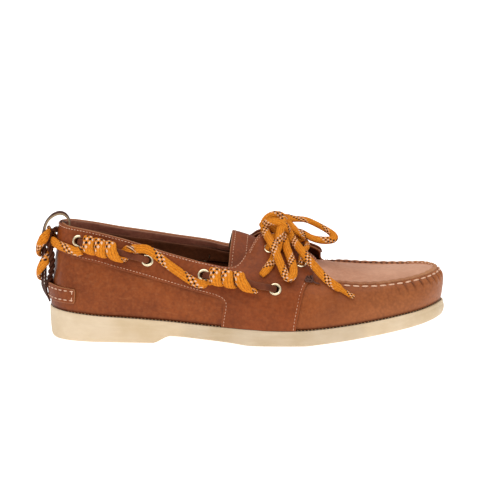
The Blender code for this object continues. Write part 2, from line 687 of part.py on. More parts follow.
def strip_grid(grid):
    """The heel strip, laid over the back of the wall between two heights."""
    fine = wall_grid(np.linspace(0, STRIP_SEARCH, 61))
    out = fine + facing(fine) * (STRIP_LIFT + STRAP_LEATHER)
    made = []
    for i in range(-STRIP_REACH, STRIP_REACH + 1):
        z = np.linspace(*STRIP_EDGES, STRIP_STEPS + 1) * MM * SCALE[2]
        rib = out[i]
        made.append(np.column_stack([np.interp(z, rib[:, 2], rib[:, k]) for k in range(3)]))
    return np.array(made)


def strap_grid():
    """The pull strap, as wide bands across its line, turned where the cord winds round it."""
    line = open_curve(scaled([(x, 0.0, z) for x, z in STRAP_LINE]), STRAP_SPACING)
    made = []
    for k, p in enumerate(line):
        share = k / (len(line) - 1)
        turn = math.radians(STRAP_TURN) * np.interp(share, *np.transpose(STRAP_TURNED))
        across = np.array([-math.sin(turn), math.cos(turn), 0])
        made.append([p + across * y for y in (-STRAP_WIDTH / 2, 0.0, STRAP_WIDTH / 2)])
    return np.array(made)


def main():
    for o in list(bpy.data.objects):
        bpy.data.objects.remove(o, do_unlink=True)
    parts = collection("boat_shoe")
    cutters = collection("cutters")
    rubber = material("gum_rubber", (0.79, 0.62, 0.42), 0.55)
    leather = material("oiled_leather", (0.30, 0.085, 0.030), 0.5)
    dark = material("dark_leather", (0.16, 0.04, 0.016), 0.5)
    board = material("insole_leather", (0.10, 0.035, 0.015), 0.7)
    rawhide = material("rawhide_lace", (0.13, 0.04, 0.02), 0.6)
    braid = material("braided_cord", (0.85, 0.33, 0.02), 0.85)
    brass = material("plated_brass", (0.86, 0.72, 0.42), 0.25, 1.0)

    levels = []
    for share, inset in SOLE_WALL:
        xy = plan_loop(inset * MM, steps=FLAT_STEPS)
        top, bottom = sole_height(xy[:, 0], 1), sole_height(xy[:, 0], 2)
        levels.append(np.column_stack([xy, top + share * (bottom - top)]))
    stacked("outsole", levels, rubber, parts)

    shares = np.linspace(0, 1, WALL_STEPS + 1)
    grid = wall_grid(shares)
    seat = Seat(grid)
    upper = sheet("upper", grid, LEATHER, leather, parts, closed=True)
    cut = upper.modifiers.new("eyelet holes", "BOOLEAN")
    cut.operation = "DIFFERENCE"
    cut.solver = "EXACT"
    cut.object = bores(seat, cutters)

    bed = []
    for lift in (GAP + INSOLE_THICK, GAP):
        xy = plan_loop(LEATHER + INSOLE_GAP, on_ledge=True, steps=FLAT_STEPS)
        bed.append(np.column_stack([xy, sole_height(xy[:, 0], 1) + lift]))
    stacked("insole", bed, board, parts)

    sheet("apron", apron_grid(grid), APRON_LEATHER, leather, parts)
    sheet("tongue", tongue_grid(), TONGUE_LEATHER, leather, parts)
    sheet("heel_strip", strip_grid(grid), STRAP_LEATHER, dark, parts)
    sheet("pull_strap", strap_grid(), STRAP_LEATHER, dark, parts)

    for side, word in ((-1, "lateral"), (1, "medial")):
        for k, (x, z) in enumerate(EYELETS[side]):
            eyelet(f"eyelet_{word}_{k + 1}", seat, x, z, side, brass, parts)
        for kind, (a, b) in (("collar", (0, 1)), ("instep", (2, 3))):
            route = lace_route(seat, EYELETS[side][a], EYELETS[side][b], side)
            tube(f"{kind}_lace_{word}", open_curve(route, LACE_SPACING), LACE_RADIUS, rawhide, parts)
        route = cord_route(seat, side)
        start = heel_wraps()[::-1] if side > 0 else [Vector(p) for p in scaled(HEEL_START)]
        route = start + route
        tube(f"cord_{word}", route, WRAP_RADIUS, braid, parts)

    front = through(seat, -1, 5), through(seat, 1, 5)
    middle = scaled(CROSSING)
    route = [*front[0], *middle, *front[1][::-1]]
    tube("cord_crossing", open_curve(route, LACE_SPACING), CROSSING_RADIUS, braid, parts)
    back = through(seat, 1, 4), through(seat, -1, 4)
    bow = open_curve([back[0][-1], *scaled(BOW_LOOPS), back[1][-1]], CORD_SPACING)
    tube("bow_loops", [*back[0], *bow[1:-1], *back[1][::-1]], CORD_DIAMETER / 2, braid, parts)
    tube("bow_ends", open_curve(scaled(BOW_ENDS), CORD_SPACING), CORD_DIAMETER / 2, braid, parts)

    for made in [*parts.objects, *cutters.objects]:
        made.location += Vector(TO_FRAME)


main()
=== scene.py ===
"""Boat shoe for the right foot: leather upper, sewn toe plug, rubber sole, side laces, cord and bow.

The toe points along +X, the outer side of the foot is -Y and the floor is z = 0. Tables and sizes are in
millimetres from the middle of the outsole; placed() takes them to the frame's metres.
"""

import logging
import math
from collections.abc import Callable, Sequence
from dataclasses import dataclass, field
from enum import Enum

import bmesh
import bpy
import numpy as np
from bpy.types import Material, Node, NodeSocket, NodeTree, Object
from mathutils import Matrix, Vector
from mathutils.geometry import delaunay_2d_cdt


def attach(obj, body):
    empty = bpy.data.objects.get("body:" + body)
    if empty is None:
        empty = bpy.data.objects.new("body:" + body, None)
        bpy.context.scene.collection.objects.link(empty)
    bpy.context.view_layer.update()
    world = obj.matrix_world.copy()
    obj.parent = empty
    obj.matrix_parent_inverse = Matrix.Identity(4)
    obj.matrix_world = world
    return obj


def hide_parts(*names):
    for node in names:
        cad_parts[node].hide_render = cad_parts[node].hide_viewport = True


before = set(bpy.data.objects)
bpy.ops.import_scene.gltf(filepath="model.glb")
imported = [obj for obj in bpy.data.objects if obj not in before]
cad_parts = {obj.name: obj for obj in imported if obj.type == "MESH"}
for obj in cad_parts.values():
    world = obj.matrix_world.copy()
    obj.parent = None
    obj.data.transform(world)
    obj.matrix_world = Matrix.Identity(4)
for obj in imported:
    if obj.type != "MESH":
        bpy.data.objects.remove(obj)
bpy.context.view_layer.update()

log = logging.getLogger("boat_shoe")
Array = np.ndarray
Rows = Sequence[Sequence[float]]
Faces = list[tuple[int, ...]]
Relief = Callable[[Array, Array], Array]
MM = 0.001
# From the middle of the outsole to the frame's origin, in millimetres.
TO_FRAME = np.array([5.3, 1.5, 0.0])
BODY = "root"
UP = np.array([0.0, 0.0, 1.0])
# The braid: yarns round the cord, and millimetres along it that each one lies on top.
YARNS = 12
YARN_LAY = 1.8


class Side(Enum):
    """The outer and the inner side of the foot, by the sign of y."""

    LATERAL = -1
    MEDIAL = 1

    @property
    def word(self) -> str:
        """The side's name in lower case."""
        return self.name.lower()

    @property
    def index(self) -> int:
        """0 for the outer side, 1 for the inner."""
        return int(self is Side.MEDIAL)

    def row(self, row: Array | float) -> Array | float:
        """The number of a row counted from the heel on this side."""
        return row if self is Side.LATERAL else ROWS - row


# -------------------- Tables of the last, rows from heel to toe --------------------

# Plan outline of the outsole: x, lateral edge, medial edge, ledge left outside the upper.
OUTLINE = [
    (-149, 0, 0, 0.7), (-142, -20.5, 20, 1), (-122.5, -31.8, 31, 1.6), (-97, -35.6, 33.8, 2.2),
    (-71.5, -37.9, 33.2, 2.2), (-57, -39.5, 32.8, 2.2), (-32, -43.6, 34.4, 2.2), (-8, -48, 38.8, 2.2),
    (5, -50, 41.8, 2.2), (17, -51.2, 44.6, 2.2), (30, -51.6, 47, 2.2), (43, -51.2, 48.4, 2.2),
    (56, -50, 48.3, 2.2), (72, -48.4, 47.6, 2.2), (95, -44.4, 44.2, 2.2), (118, -35.4, 37.4, 2),
    (137, -20.6, 26.4, 1.8), (149, 5, 5, 1.6),
]
TOE_ROW = len(OUTLINE) - 1
ROWS = 2 * TOE_ROW
# The row at which the long stitches round the vamp start, and the number of gaps between them.
SEAM_START = 12.3
VAMP_STITCHES = 30

# Side view of the outsole: x, height of its top (the feather line), height of its underside.
SOLE_PROFILE = [
    (-150, 24, 0), (-129, 21.8, 0), (-111, 20.4, 0), (-87, 19.2, 0), (-71.5, 18.2, 0),
    (-57, 17.2, 5.7), (-32, 15.2, 3.9), (-14, 14, 2.2), (5, 12.9, 0), (17, 12.3, 0),
    (30, 12.1, 0), (43, 12.3, 0), (56, 13.2, 1.2), (72, 15, 3.2), (95, 18.2, 6.6),
    (118, 21.6, 10), (136.5, 24.5, 12.8), (150, 27.2, 15.4),
]

# Ribs of the upper, one at each row of OUTLINE: low x, y, z, high x, y, z, top edge x, y, z.
LATERAL_RIBS = [
    (-147.8, 0, 34, -144.4, 0, 62, -140.4, 0, 87.5),
    (-140.8, -21.3, 36, -138.2, -19.4, 62, -135, -16.5, 87),
    (-121.5, -31.6, 37, -119.8, -29.6, 61, -118, -25.8, 85),
    (-96, -35.3, 36, -95.5, -33.2, 58, -95, -28.8, 79.8),
    (-71.5, -37.4, 34.5, -71.5, -35.4, 55, -71, -31, 72.8),
    (-57, -38.6, 33, -57, -36.8, 52, -57, -32.4, 68.6),
    (-32, -42.6, 30.5, -32, -40.6, 48, -32, -35.4, 62.4),
    (-8, -46.8, 29.5, -8.5, -44.2, 46.5, -9.5, -35.8, 59),
    (4.5, -48.4, 29, 4, -42.8, 51, 2.5, -24, 69),
    (16.5, -49.6, 28.5, 15.5, -41.2, 54.5, 13, -12, 80),
    (30.5, -49.8, 27.5, 31.5, -40.2, 52, 33.5, -12.3, 71.5),
    (44, -49.2, 27, 46, -41.2, 47, 50.5, -14.5, 62),
    (57, -48.2, 27, 58, -44.6, 41.5, 58.5, -37.6, 50.6),
    (73, -46.8, 27.3, 73.5, -44.2, 38.5, 73.5, -38, 46.9),
    (96, -43.2, 28.5, 96.5, -41.2, 38.4, 96, -36, 45.9),
    (119.2, -34.8, 31, 119.6, -33.2, 40.2, 118, -28.8, 47.2),
    (138.2, -20.8, 34, 138.4, -20, 43.2, 135.6, -17.2, 49.6),
    (148.6, 5, 36.5, 148.2, 5, 45.5, 144.6, 5, 51.3),
]
MEDIAL_RIBS = [
    LATERAL_RIBS[0],
    (-140.8, 20.8, 36, -138.2, 19, 62, -135, 16.5, 86.5),
    (-121.5, 31, 37, -119.8, 29.2, 61, -118, 25.8, 83),
    (-96, 34, 36, -95.5, 32.8, 58, -95, 28.6, 78.4),
    (-71.5, 34.6, 35, -71.5, 34.2, 56, -71, 30.4, 74.6),
    (-57, 34.8, 34, -57, 34.8, 54, -57, 31.4, 72.2),
    (-32, 37, 32, -32, 37, 51, -32, 33.4, 68.2),
    (-8, 40.6, 31, -8.5, 39.6, 48.5, -9.5, 33.8, 63.8),
    (4.5, 42.6, 30.5, 4, 40, 53, 2.5, 24, 71.4),
    (16.5, 44.6, 29.5, 15.5, 39, 56, 13, 12, 77.8),
    (30.5, 46.6, 28.5, 31.5, 38.4, 53.5, 33.5, 12, 71.5),
    (44, 47.4, 28, 46, 39.4, 49, 55, 14, 64),
    (57, 47, 28, 58, 42.6, 43.5, 58.5, 34, 52.2),
    (73, 46.4, 28.3, 73.5, 43, 41.5, 73.5, 36.4, 50),
    (96, 43.4, 29.5, 96.5, 40.8, 41.5, 96, 35.2, 49),
    (119.2, 36.8, 32, 119.6, 35.2, 42.5, 118, 30.6, 49.6),
    (138.2, 26.4, 35, 138.4, 25.6, 45, 135.6, 22.6, 51.2),
    LATERAL_RIBS[TOE_ROW],
]

# Centres of the eyelets on each side, x and height, from the heel forwards.
EYELETS = {
    Side.LATERAL: [(-126, 76.5), (-74.5, 63.5), (-32, 53), (21.5, 43.5), (17.2, 70.6), (40.5, 60)],
    Side.MEDIAL: [(-126, 71.5), (-74.5, 61.5), (-32, 54.5), (21.5, 45), (20.3, 69.6), (40.5, 61)],
}


# -------------------- Curves --------------------


def placed(points: Array) -> Array:
    """Points in the shoe's millimetres as metres in the frame."""
    return (np.asarray(points, float) + TO_FRAME) * MM


def unit(vectors: Array) -> Array:
    """Vectors along the last axis, brought to length one."""
    return vectors / np.maximum(np.linalg.norm(vectors, axis=-1, keepdims=True), 1e-9)


def controls(points: Rows) -> Array:
    """Control points of the smooth closed curve that passes through the given ones.

    Args:
        points: the points, in order round the curve.

    Returns:
        One control point for each of them.
    """
    eye = np.eye(len(points))
    return np.linalg.solve((4 * eye + np.roll(eye, 1, 0) + np.roll(eye, -1, 0)) / 6, np.array(points, float))


def smooth_loop(ctrl: Array, u: Array) -> Array:
    """Points of a closed curve from controls(), at row numbers u.

    Args:
        ctrl: the curve's control points.
        u: row numbers.

    Returns:
        The points.
    """
    i = np.floor(u).astype(int)
    t = (u - i)[:, None]
    a, b, c, d = (ctrl[(i + k) % len(ctrl)] for k in (-1, 0, 1, 2))
    return (
        (1 - t) ** 3 * a + (3 * t**3 - 6 * t**2 + 4) * b + (-3 * t**3 + 3 * t**2 + 3 * t + 1) * c + t**3 * d
    ) / 6


def cornered(a: Array, b: Array, c: Array, d: Array, t: Array) -> Array:
    """A point at share t between b and c, on the curve that also heeds a and d."""
    return 0.5 * (2 * b + (c - a) * t + (2 * a - 5 * b + 4 * c - d) * t**2 + (3 * b - a - 3 * c + d) * t**3)


def cornered_loop(points: Array, u: Array) -> Array:
    """Points at row numbers u of a closed curve that keeps its corners tighter."""
    i = np.floor(u).astype(int)
    a, b, c, d = (points[(i + k) % len(points)] for k in (-1, 0, 1, 2))
    return cornered(a, b, c, d, (u - i)[:, None])


def run_of(path: Array) -> Array:
    """The distance along a line of points, at each of them."""
    return np.concatenate([[0], np.cumsum(np.linalg.norm(np.diff(path, axis=0), axis=1))])


def curve(points: Rows, spacing: float) -> Array:
    """Evenly spaced points on the smooth curve through the given ones.

    Args:
        points: the points to pass through, of any dimension; the first three measure the length.
        spacing: the wanted distance between two points.

    Returns:
        The points, from the first to the last given one.
    """
    p = np.array(points, float)
    ends = np.vstack([2 * p[0] - p[1], p, 2 * p[-1] - p[-2]])
    t = np.linspace(0, 1, 24, endpoint=False)[:, None]
    fine = np.vstack([*(cornered(*ends[i : i + 4], t) for i in range(len(p) - 1)), p[-1:]])
    run = run_of(fine[:, :3])
    at = np.linspace(0, run[-1], max(2, round(run[-1] / spacing) + 1))
    return np.stack([np.interp(at, run, fine[:, k]) for k in range(p.shape[1])], axis=1)


def relaxed(rows: Array, times: int) -> Array:
    """Rows with their small kinks evened out, the ends kept."""
    for _ in range(times):
        rows = np.concatenate([rows[:1], (rows[:-2] + 2 * rows[1:-1] + rows[2:]) / 4, rows[-1:]])
    return rows


def eased(rows: Rows, x: Array, column: int) -> Array:
    """A column of a table read at x, without overshoot between its rows.

    Args:
        rows: the table, x in its first column.
        x: where to read it.
        column: the column's number.

    Returns:
        A value for each x.
    """
    xs, ys = (np.array([r[k] for r in rows]) for k in (0, column))
    d = np.diff(ys) / np.diff(xs)
    m = np.zeros(len(xs))
    for i in range(1, len(xs) - 1):
        if d[i - 1] * d[i] > 0:
            m[i] = 2 * d[i - 1] * d[i] / (d[i - 1] + d[i])
    m[0], m[-1] = d[0], d[-1]
    i = np.clip(np.searchsorted(xs, x) - 1, 0, len(xs) - 2)
    h = xs[i + 1] - xs[i]
    t = np.clip((np.asarray(x) - xs[i]) / h, 0, 1)
    return (
        (2 * t**3 - 3 * t**2 + 1) * ys[i]
        + (t**3 - 2 * t**2 + t) * h * m[i]
        + (3 * t**2 - 2 * t**3) * ys[i + 1]
        + (t**3 - t**2) * h * m[i + 1]
    )


def from_heel(u: Array) -> Array:
    """Row numbers counted from the heel on either side."""
    return np.where(u > TOE_ROW, ROWS - u, u)


def bump_at(x: Array, middle: float, width: float) -> Array:
    """A soft hump of height one about middle."""
    return np.exp(-(((x - middle) / width) ** 2))


def step_at(x: Array, start: float, end: float) -> Array:
    """Zero before start, one after end, and eased between them."""
    t = np.clip((np.asarray(x, float) - start) / (end - start), 0, 1)
    return t * t * (3 - 2 * t)


# -------------------- The last --------------------


@dataclass
class Last:
    """The outer face of the upper as a surface of u, the row number round the foot, and v, the share of its height.

    Row 0 is the middle of the heel and row TOE_ROW the toe; the lateral side comes first, then the medial side back.
    """

    rand_gap: float = 0.3
    # Shares of the height at which the chart and the seam round the vamp are measured.
    chart_share: float = 0.55
    seam_share: float = 0.95

    def __post_init__(self) -> None:
        """Fits the closed curves that the ribs hang on, and measures them."""

        def ring(lateral: list, medial: list) -> list:
            """Both sides' rows as one loop, forwards on the outer side and back on the inner."""
            return [*lateral, *medial[-2:0:-1]]

        self.plan = controls(ring([(r[0], r[1], r[3]) for r in OUTLINE], [(r[0], r[2], r[3]) for r in OUTLINE]))
        part = {k: ring([r[k : k + 3] for r in LATERAL_RIBS], [r[k : k + 3] for r in MEDIAL_RIBS]) for k in (0, 3, 6)}
        self.low, self.high, self.top = controls(part[0]), controls(part[3]), np.array(part[6], float)
        self.marks = np.linspace(0, ROWS, ROWS * 16 + 1)
        rib = self.rib(self.marks)
        self.heights = np.linalg.norm(np.diff(rib, axis=1), axis=2).sum(1)
        self.run, self.rim_run = (
            run_of(self.wall(self.marks, np.full(len(self.marks), share)))
            for share in (self.chart_share, self.seam_share)
        )

    def sole_height(self, x: Array, column: int) -> Array:
        """Height of the outsole's top (column 1) or underside (column 2) at x."""
        return eased(SOLE_PROFILE, x, column)

    def outline(self, u: Array, inset: Array | float = 0.0, on_ledge: bool = False) -> Array:
        """Points x, y of the outsole's outline.

        Args:
            u: row numbers.
            inset: how far they are drawn in.
            on_ledge: whether they are drawn in by the ledge too.

        Returns:
            The points.
        """
        e = 0.02
        p = smooth_loop(self.plan, u)
        along = unit((smooth_loop(self.plan, u + e) - smooth_loop(self.plan, u - e))[:, :2])
        inward = np.stack([-along[:, 1], along[:, 0]], axis=1)
        return p[:, :2] + inward * (np.reshape(inset, (-1, 1)) + (p[:, 2:] if on_ledge else 0.0))

    def rib(self, u: Array) -> Array:
        """The four points of the rib at each u, from the feather line to the top edge.

        Args:
            u: row numbers.

        Returns:
            Four points for each.
        """
        feet = self.outline(u, on_ledge=True)
        feet = np.column_stack([feet, self.sole_height(feet[:, 0], 1) + self.rand_gap])
        return np.stack(
            [feet, smooth_loop(self.low, u), smooth_loop(self.high, u), cornered_loop(self.top, u)], axis=1
        )

    def wall(self, u: Array, v: Array, lift: Array | float = 0.0) -> Array:
        """Points of the surface.

        Args:
            u: row numbers.
            v: shares of the height.
            lift: how far outside the surface the points lie.

        Returns:
            An array of x, y, z.
        """
        u, v = np.asarray(u, float), np.asarray(v, float)
        rib = self.rib(u)
        t = np.cumsum(np.linalg.norm(np.diff(rib, axis=1), axis=2), axis=1)
        t = np.column_stack([np.zeros(len(u)), t / t[:, -1:]])
        out = np.zeros((len(u), 3))
        for k in range(4):
            w = np.ones(len(u))
            for m in range(4):
                if m != k:
                    w = w * (v - t[:, m]) / (t[:, k] - t[:, m])
            out += w[:, None] * rib[:, k]
        if np.any(lift):
            out = out + self.normal(u, v) * np.reshape(lift, (-1, 1))
        return out

    def normal(self, u: Array, v: Array) -> Array:
        """Unit normals that point out of the foot."""
        along = self.wall(u + 0.03, v) - self.wall(u - 0.03, v)
        up = self.wall(u, v + 0.01) - self.wall(u, v - 0.01)
        return unit(np.cross(along, up))

    def height(self, u: Array) -> Array:
        """Length of the rib at u."""
        return np.interp(u, self.marks, self.heights)

    def chart(self, u: Array, v: Array) -> Array:
        """The surface laid flat: distance round the foot from the heel, distance up from the feather line."""
        return np.column_stack([np.interp(u, self.marks, self.run), v * self.height(u)])

    def rows_of(self, flat: Array) -> tuple[Array, Array]:
        """u and v of points of the chart."""
        u = np.interp(flat[:, 0], self.run, self.marks)
        return u, flat[:, 1] / self.height(u)

    def stitch_number(self, u: Array) -> Array:
        """The number of long vamp stitches from the seam's start to each u; whole numbers are their middles."""
        start, end = np.interp([SEAM_START, ROWS - SEAM_START], self.marks, self.rim_run)
        return (np.interp(u, self.marks, self.rim_run) - start) / (end - start) * VAMP_STITCHES

    def find(self, spots: Sequence[tuple[float, float]], side: Side) -> tuple[Array, Array]:
        """u and v of places given by x and height on one side.

        Args:
            spots: pairs of x and height.
            side: the side of the foot.

        Returns:
            The row numbers and the shares of the height.
        """
        want = np.array(spots, float)
        u, v = (a.ravel() for a in np.meshgrid(np.linspace(0.05, TOE_ROW - 0.05, 340), np.linspace(0, 1, 41)))
        u = side.row(u)
        seen = self.wall(u, v)[:, [0, 2]]
        near = [int(np.argmin(((seen - w) ** 2).sum(1))) for w in want]
        u, v = u[near], v[near]
        e = 1e-3
        for _ in range(6):
            p = self.wall(u, v)[:, [0, 2]]
            du = (self.wall(u + e, v)[:, [0, 2]] - p) / e
            dv = (self.wall(u, v + e)[:, [0, 2]] - p) / e
            det = du[:, 0] * dv[:, 1] - du[:, 1] * dv[:, 0]
            r = want - p
            u = u + np.clip((r[:, 0] * dv[:, 1] - r[:, 1] * dv[:, 0]) / det, -0.2, 0.2)
            v = np.clip(v + np.clip((du[:, 0] * r[:, 1] - du[:, 1] * r[:, 0]) / det, -0.1, 0.1), -0.02, 1.02)
        return u, v

    def seat(self, x: float, z: float, side: Side, lift: float = 0.0) -> tuple[Array, Array]:
        """A point over a place.

        Args:
            x: the place's distance along the foot.
            z: its height.
            side: the side of the foot.
            lift: how far over the surface the point lies.

        Returns:
            The point, and the surface's normal there.
        """
        u, v = self.find([(x, z)], side)
        n = self.normal(u, v)[0]
        return self.wall(u, v)[0] + n * lift, n

    def through(self, side: Side, eyelet: int) -> list[Array]:
        """Points of a cord that passes through an eyelet, from inside the shoe outwards."""
        spot, normal = self.seat(*EYELETS[side][eyelet], side)
        return [spot + normal * lift for lift in (-4.2, -1.2, 3.6)]

    def line(self, spots: Sequence[tuple[float, float]], side: Side, spacing: float = 1.0) -> Array:
        """A smooth line on the chart through places of one side, given by x and height."""
        return curve(self.chart(*self.find(spots, side)), spacing)

    def level(self, start: float, end: float, drop: float, spacing: float = 1.0) -> Array:
        """A level line on the chart.

        Args:
            start: the row number at which it starts.
            end: the row number at which it ends.
            drop: how far it lies below the top edge.
            spacing: distance between its points.

        Returns:
            Its points.
        """
        s = np.interp([start, end], self.marks, self.run)
        s = np.linspace(s[0], s[1], max(2, round(abs(s[1] - s[0]) / spacing) + 1))
        u = np.interp(s, self.run, self.marks)
        return np.column_stack([s, self.height(u) - drop])


def beside(flat: Array, distance: float) -> Array:
    """A line of the chart moved to its left by distance."""
    along = unit(np.gradient(flat, axis=0))
    return flat + np.stack([-along[:, 1], along[:, 0]], axis=1) * distance


# -------------------- Finishes --------------------


def linear(code: str) -> tuple[float, float, float, float]:
    """The linear colour of an sRGB hex value."""
    parts = [int(code[i : i + 2], 16) / 255 for i in (1, 3, 5)]
    return (*(c / 12.92 if c <= 0.04045 else ((c + 0.055) / 1.055) ** 2.4 for c in parts), 1.0)


def add(tree: NodeTree, kind: str, inputs: dict | None = None, **settings: object) -> Node:
    """Adds a node with its settings and links.

    Args:
        tree: the tree that gets the node.
        kind: the node's type.
        inputs: value or source socket for each input, by name or number.
        **settings: the node's own properties.

    Returns:
        The node.
    """
    made = tree.nodes.new(kind)
    for name, value in settings.items():
        setattr(made, name, value)
    for key, value in (inputs or {}).items():
        if isinstance(value, NodeSocket):
            tree.links.new(value, made.inputs[key])
        else:
            made.inputs[key].default_value = value
    return made


def blank(name: str, roughness: float, ior: float = 1.5) -> tuple[Material, NodeTree, Node]:
    """Starts a material.

    Args:
        name: its name.
        roughness: its roughness where nothing changes it.
        ior: its index of refraction.

    Returns:
        The material, its tree and its shader.
    """
    made = bpy.data.materials.new(name)
    made.use_nodes = True
    shader = made.node_tree.nodes["Principled BSDF"]
    shader.inputs["Roughness"].default_value = roughness
    shader.inputs["IOR"].default_value = ior
    return made, made.node_tree, shader


def per_metre(size_mm: float) -> float:
    """The scale of a texture whose features are size_mm across."""
    return 1.0 / (size_mm * MM)


def layered(tree: NodeTree, colour: NodeSocket | tuple, layers: Sequence[tuple]) -> NodeSocket:
    """Lays tones over a colour, each where its own pattern runs.

    Args:
        tree: the material's tree.
        colour: the colour below them, as a value or a socket.
        layers: for each tone its pattern's socket, the pattern's value where the tone starts and where it is
            fullest, the tone's share there, and its hex value.

    Returns:
        The socket of the finished colour.
    """
    for source, low, high, share, tone in layers:
        part = add(tree, "ShaderNodeMapRange", {0: source, 1: low, 2: high, 3: 0.0, 4: share})
        over = add(tree, "ShaderNodeMix", {0: part.outputs[0], 6: colour, 7: linear(tone)}, data_type="RGBA")
        colour = over.outputs[2]
    return colour


def surfaced(tree: NodeTree, shader: Node, colour: NodeSocket, heights: Sequence[tuple] = ()) -> None:
    """Gives a shader its colour and its relief.

    Args:
        tree: the material's tree.
        shader: the shader.
        colour: the socket of the colour.
        heights: strength, depth in millimetres and socket of each pattern in the relief, coarse over fine.
    """
    tree.links.new(colour, shader.inputs["Base Color"])
    below = {}
    for strength, depth, height in heights:
        bump = add(tree, "ShaderNodeBump", {"Strength": strength, "Distance": depth * MM, "Height": height, **below})
        below = {"Normal": bump.outputs[0]}
    if below:
        tree.links.new(below["Normal"], shader.inputs["Normal"])


@dataclass(frozen=True)
class Leather:
    """Full-grain cowhide, drum dyed and oiled: satin, cloudy where the oil has moved, paler where it is bent or cut,
    the paleness partly a painted highlight, with painted shade in pleats and along the foot of the upper.

    The pores are drawn about four times coarser than real ones, so that they show.
    """

    name: str
    base: str
    deep: str
    pale: str
    fold: str = "#4A2110"
    raw: str = "#B07A54"
    roughness: float = 0.46
    gloss: float = 0.2
    cloud_mm: float = 34.0
    hide_mm: float = 3.6
    scratch_mm: float = 2.2
    grain_mm: float = 1.9
    grain_share: float = 0.25
    grain_depth_mm: float = 0.16
    toe_share: float = 0.0
    pebble: float = 0.0
    edge_share: float = 0.75

    def material(self) -> Material:
        """Builds the finish on Object coordinates, with the piece's own edge marks for pale cut edges, partly a
        painted highlight, and for painted shade.

        Returns:
            The material.
        """
        made, tree, shader = blank(self.name, self.roughness, 1.48)
        at = add(tree, "ShaderNodeTexCoord").outputs["Object"]
        grained = add(
            tree, "ShaderNodeMapping", {"Vector": at, "Rotation": (0.0, 0.35, 0.0), "Scale": (0.16, 1.0, 1.0)}
        )
        cloud, hide, scratch = (
            add(
                tree, "ShaderNodeTexNoise",
                {"Vector": place, "Scale": per_metre(size), "Detail": detail, "Roughness": rough},
            ).outputs[0]
            for place, size, detail, rough in (
                (at, self.cloud_mm, 5.0, 0.5), (at, self.hide_mm, 5.0, 0.6),
                (grained.outputs[0], self.scratch_mm, 3.0, 0.5),
            )
        )
        pores = add(
            tree, "ShaderNodeTexVoronoi", {"Vector": at, "Scale": per_metre(self.grain_mm)}, feature="SMOOTH_F1"
        ).outputs["Distance"]
        colour = layered(
            tree, linear(self.deep),
            (
                (cloud, 0.38, 0.62, 1.0, self.base), (hide, 0.46, 0.72, 0.26, self.pale),
                (hide, 0.5, 0.3, 0.14, self.fold), (scratch, 0.6, 0.76, 0.3, self.pale),
                (pores, 0.3, 0.75, self.grain_share, self.fold),
            ),
        )
        # Towards the toe the hide is paler, partly pulled up in lasting and partly a painted sheen, and its pores
        # darker.
        if self.toe_share:
            x = add(tree, "ShaderNodeSeparateXYZ", {0: at}).outputs[0]
            for source, span, start, end, share, tone in (
                (cloud, (0.3, 0.6, 0.7, 1.2), 0.035, 0.135, self.toe_share, self.pale),
                (pores, (0.25, 0.65, 0.0, 1.0), 0.07, 0.1, self.pebble, self.fold),
            ):
                reach = add(tree, "ShaderNodeMapRange", {0: x, 1: start, 2: end, 3: 0.0, 4: share})
                patch = add(tree, "ShaderNodeMapRange", dict(enumerate((source, *span))))
                part = add(tree, "ShaderNodeMath", {0: reach.outputs[0], 1: patch.outputs[0]}, operation="MULTIPLY")
                over = add(tree, "ShaderNodeMix", {0: part.outputs[0], 6: colour, 7: linear(tone)}, data_type="RGBA")
                colour = over.outputs[2]
        # Marks of one are pale cut edges, partly a painted highlight; negative marks are painted shade in pleats and
        # along the foot of the upper.
        edge = add(tree, "ShaderNodeAttribute", attribute_name="edge").outputs["Fac"]
        colour = layered(
            tree, colour, ((edge, 0.45, 1.0, self.edge_share, self.raw), (edge, -0.15, -0.8, 0.85, self.fold))
        )
        surfaced(tree, shader, colour, ((0.8, self.grain_depth_mm, pores), (0.6, 0.3, hide)))
        rough = add(
            tree, "ShaderNodeMapRange", {0: hide, 1: 0.3, 2: 0.7, 3: self.roughness - 0.06, 4: self.roughness + 0.1}
        )
        tree.links.new(rough.outputs[0], shader.inputs["Roughness"])
        shader.inputs["Specular IOR Level"].default_value = self.gloss
        return made


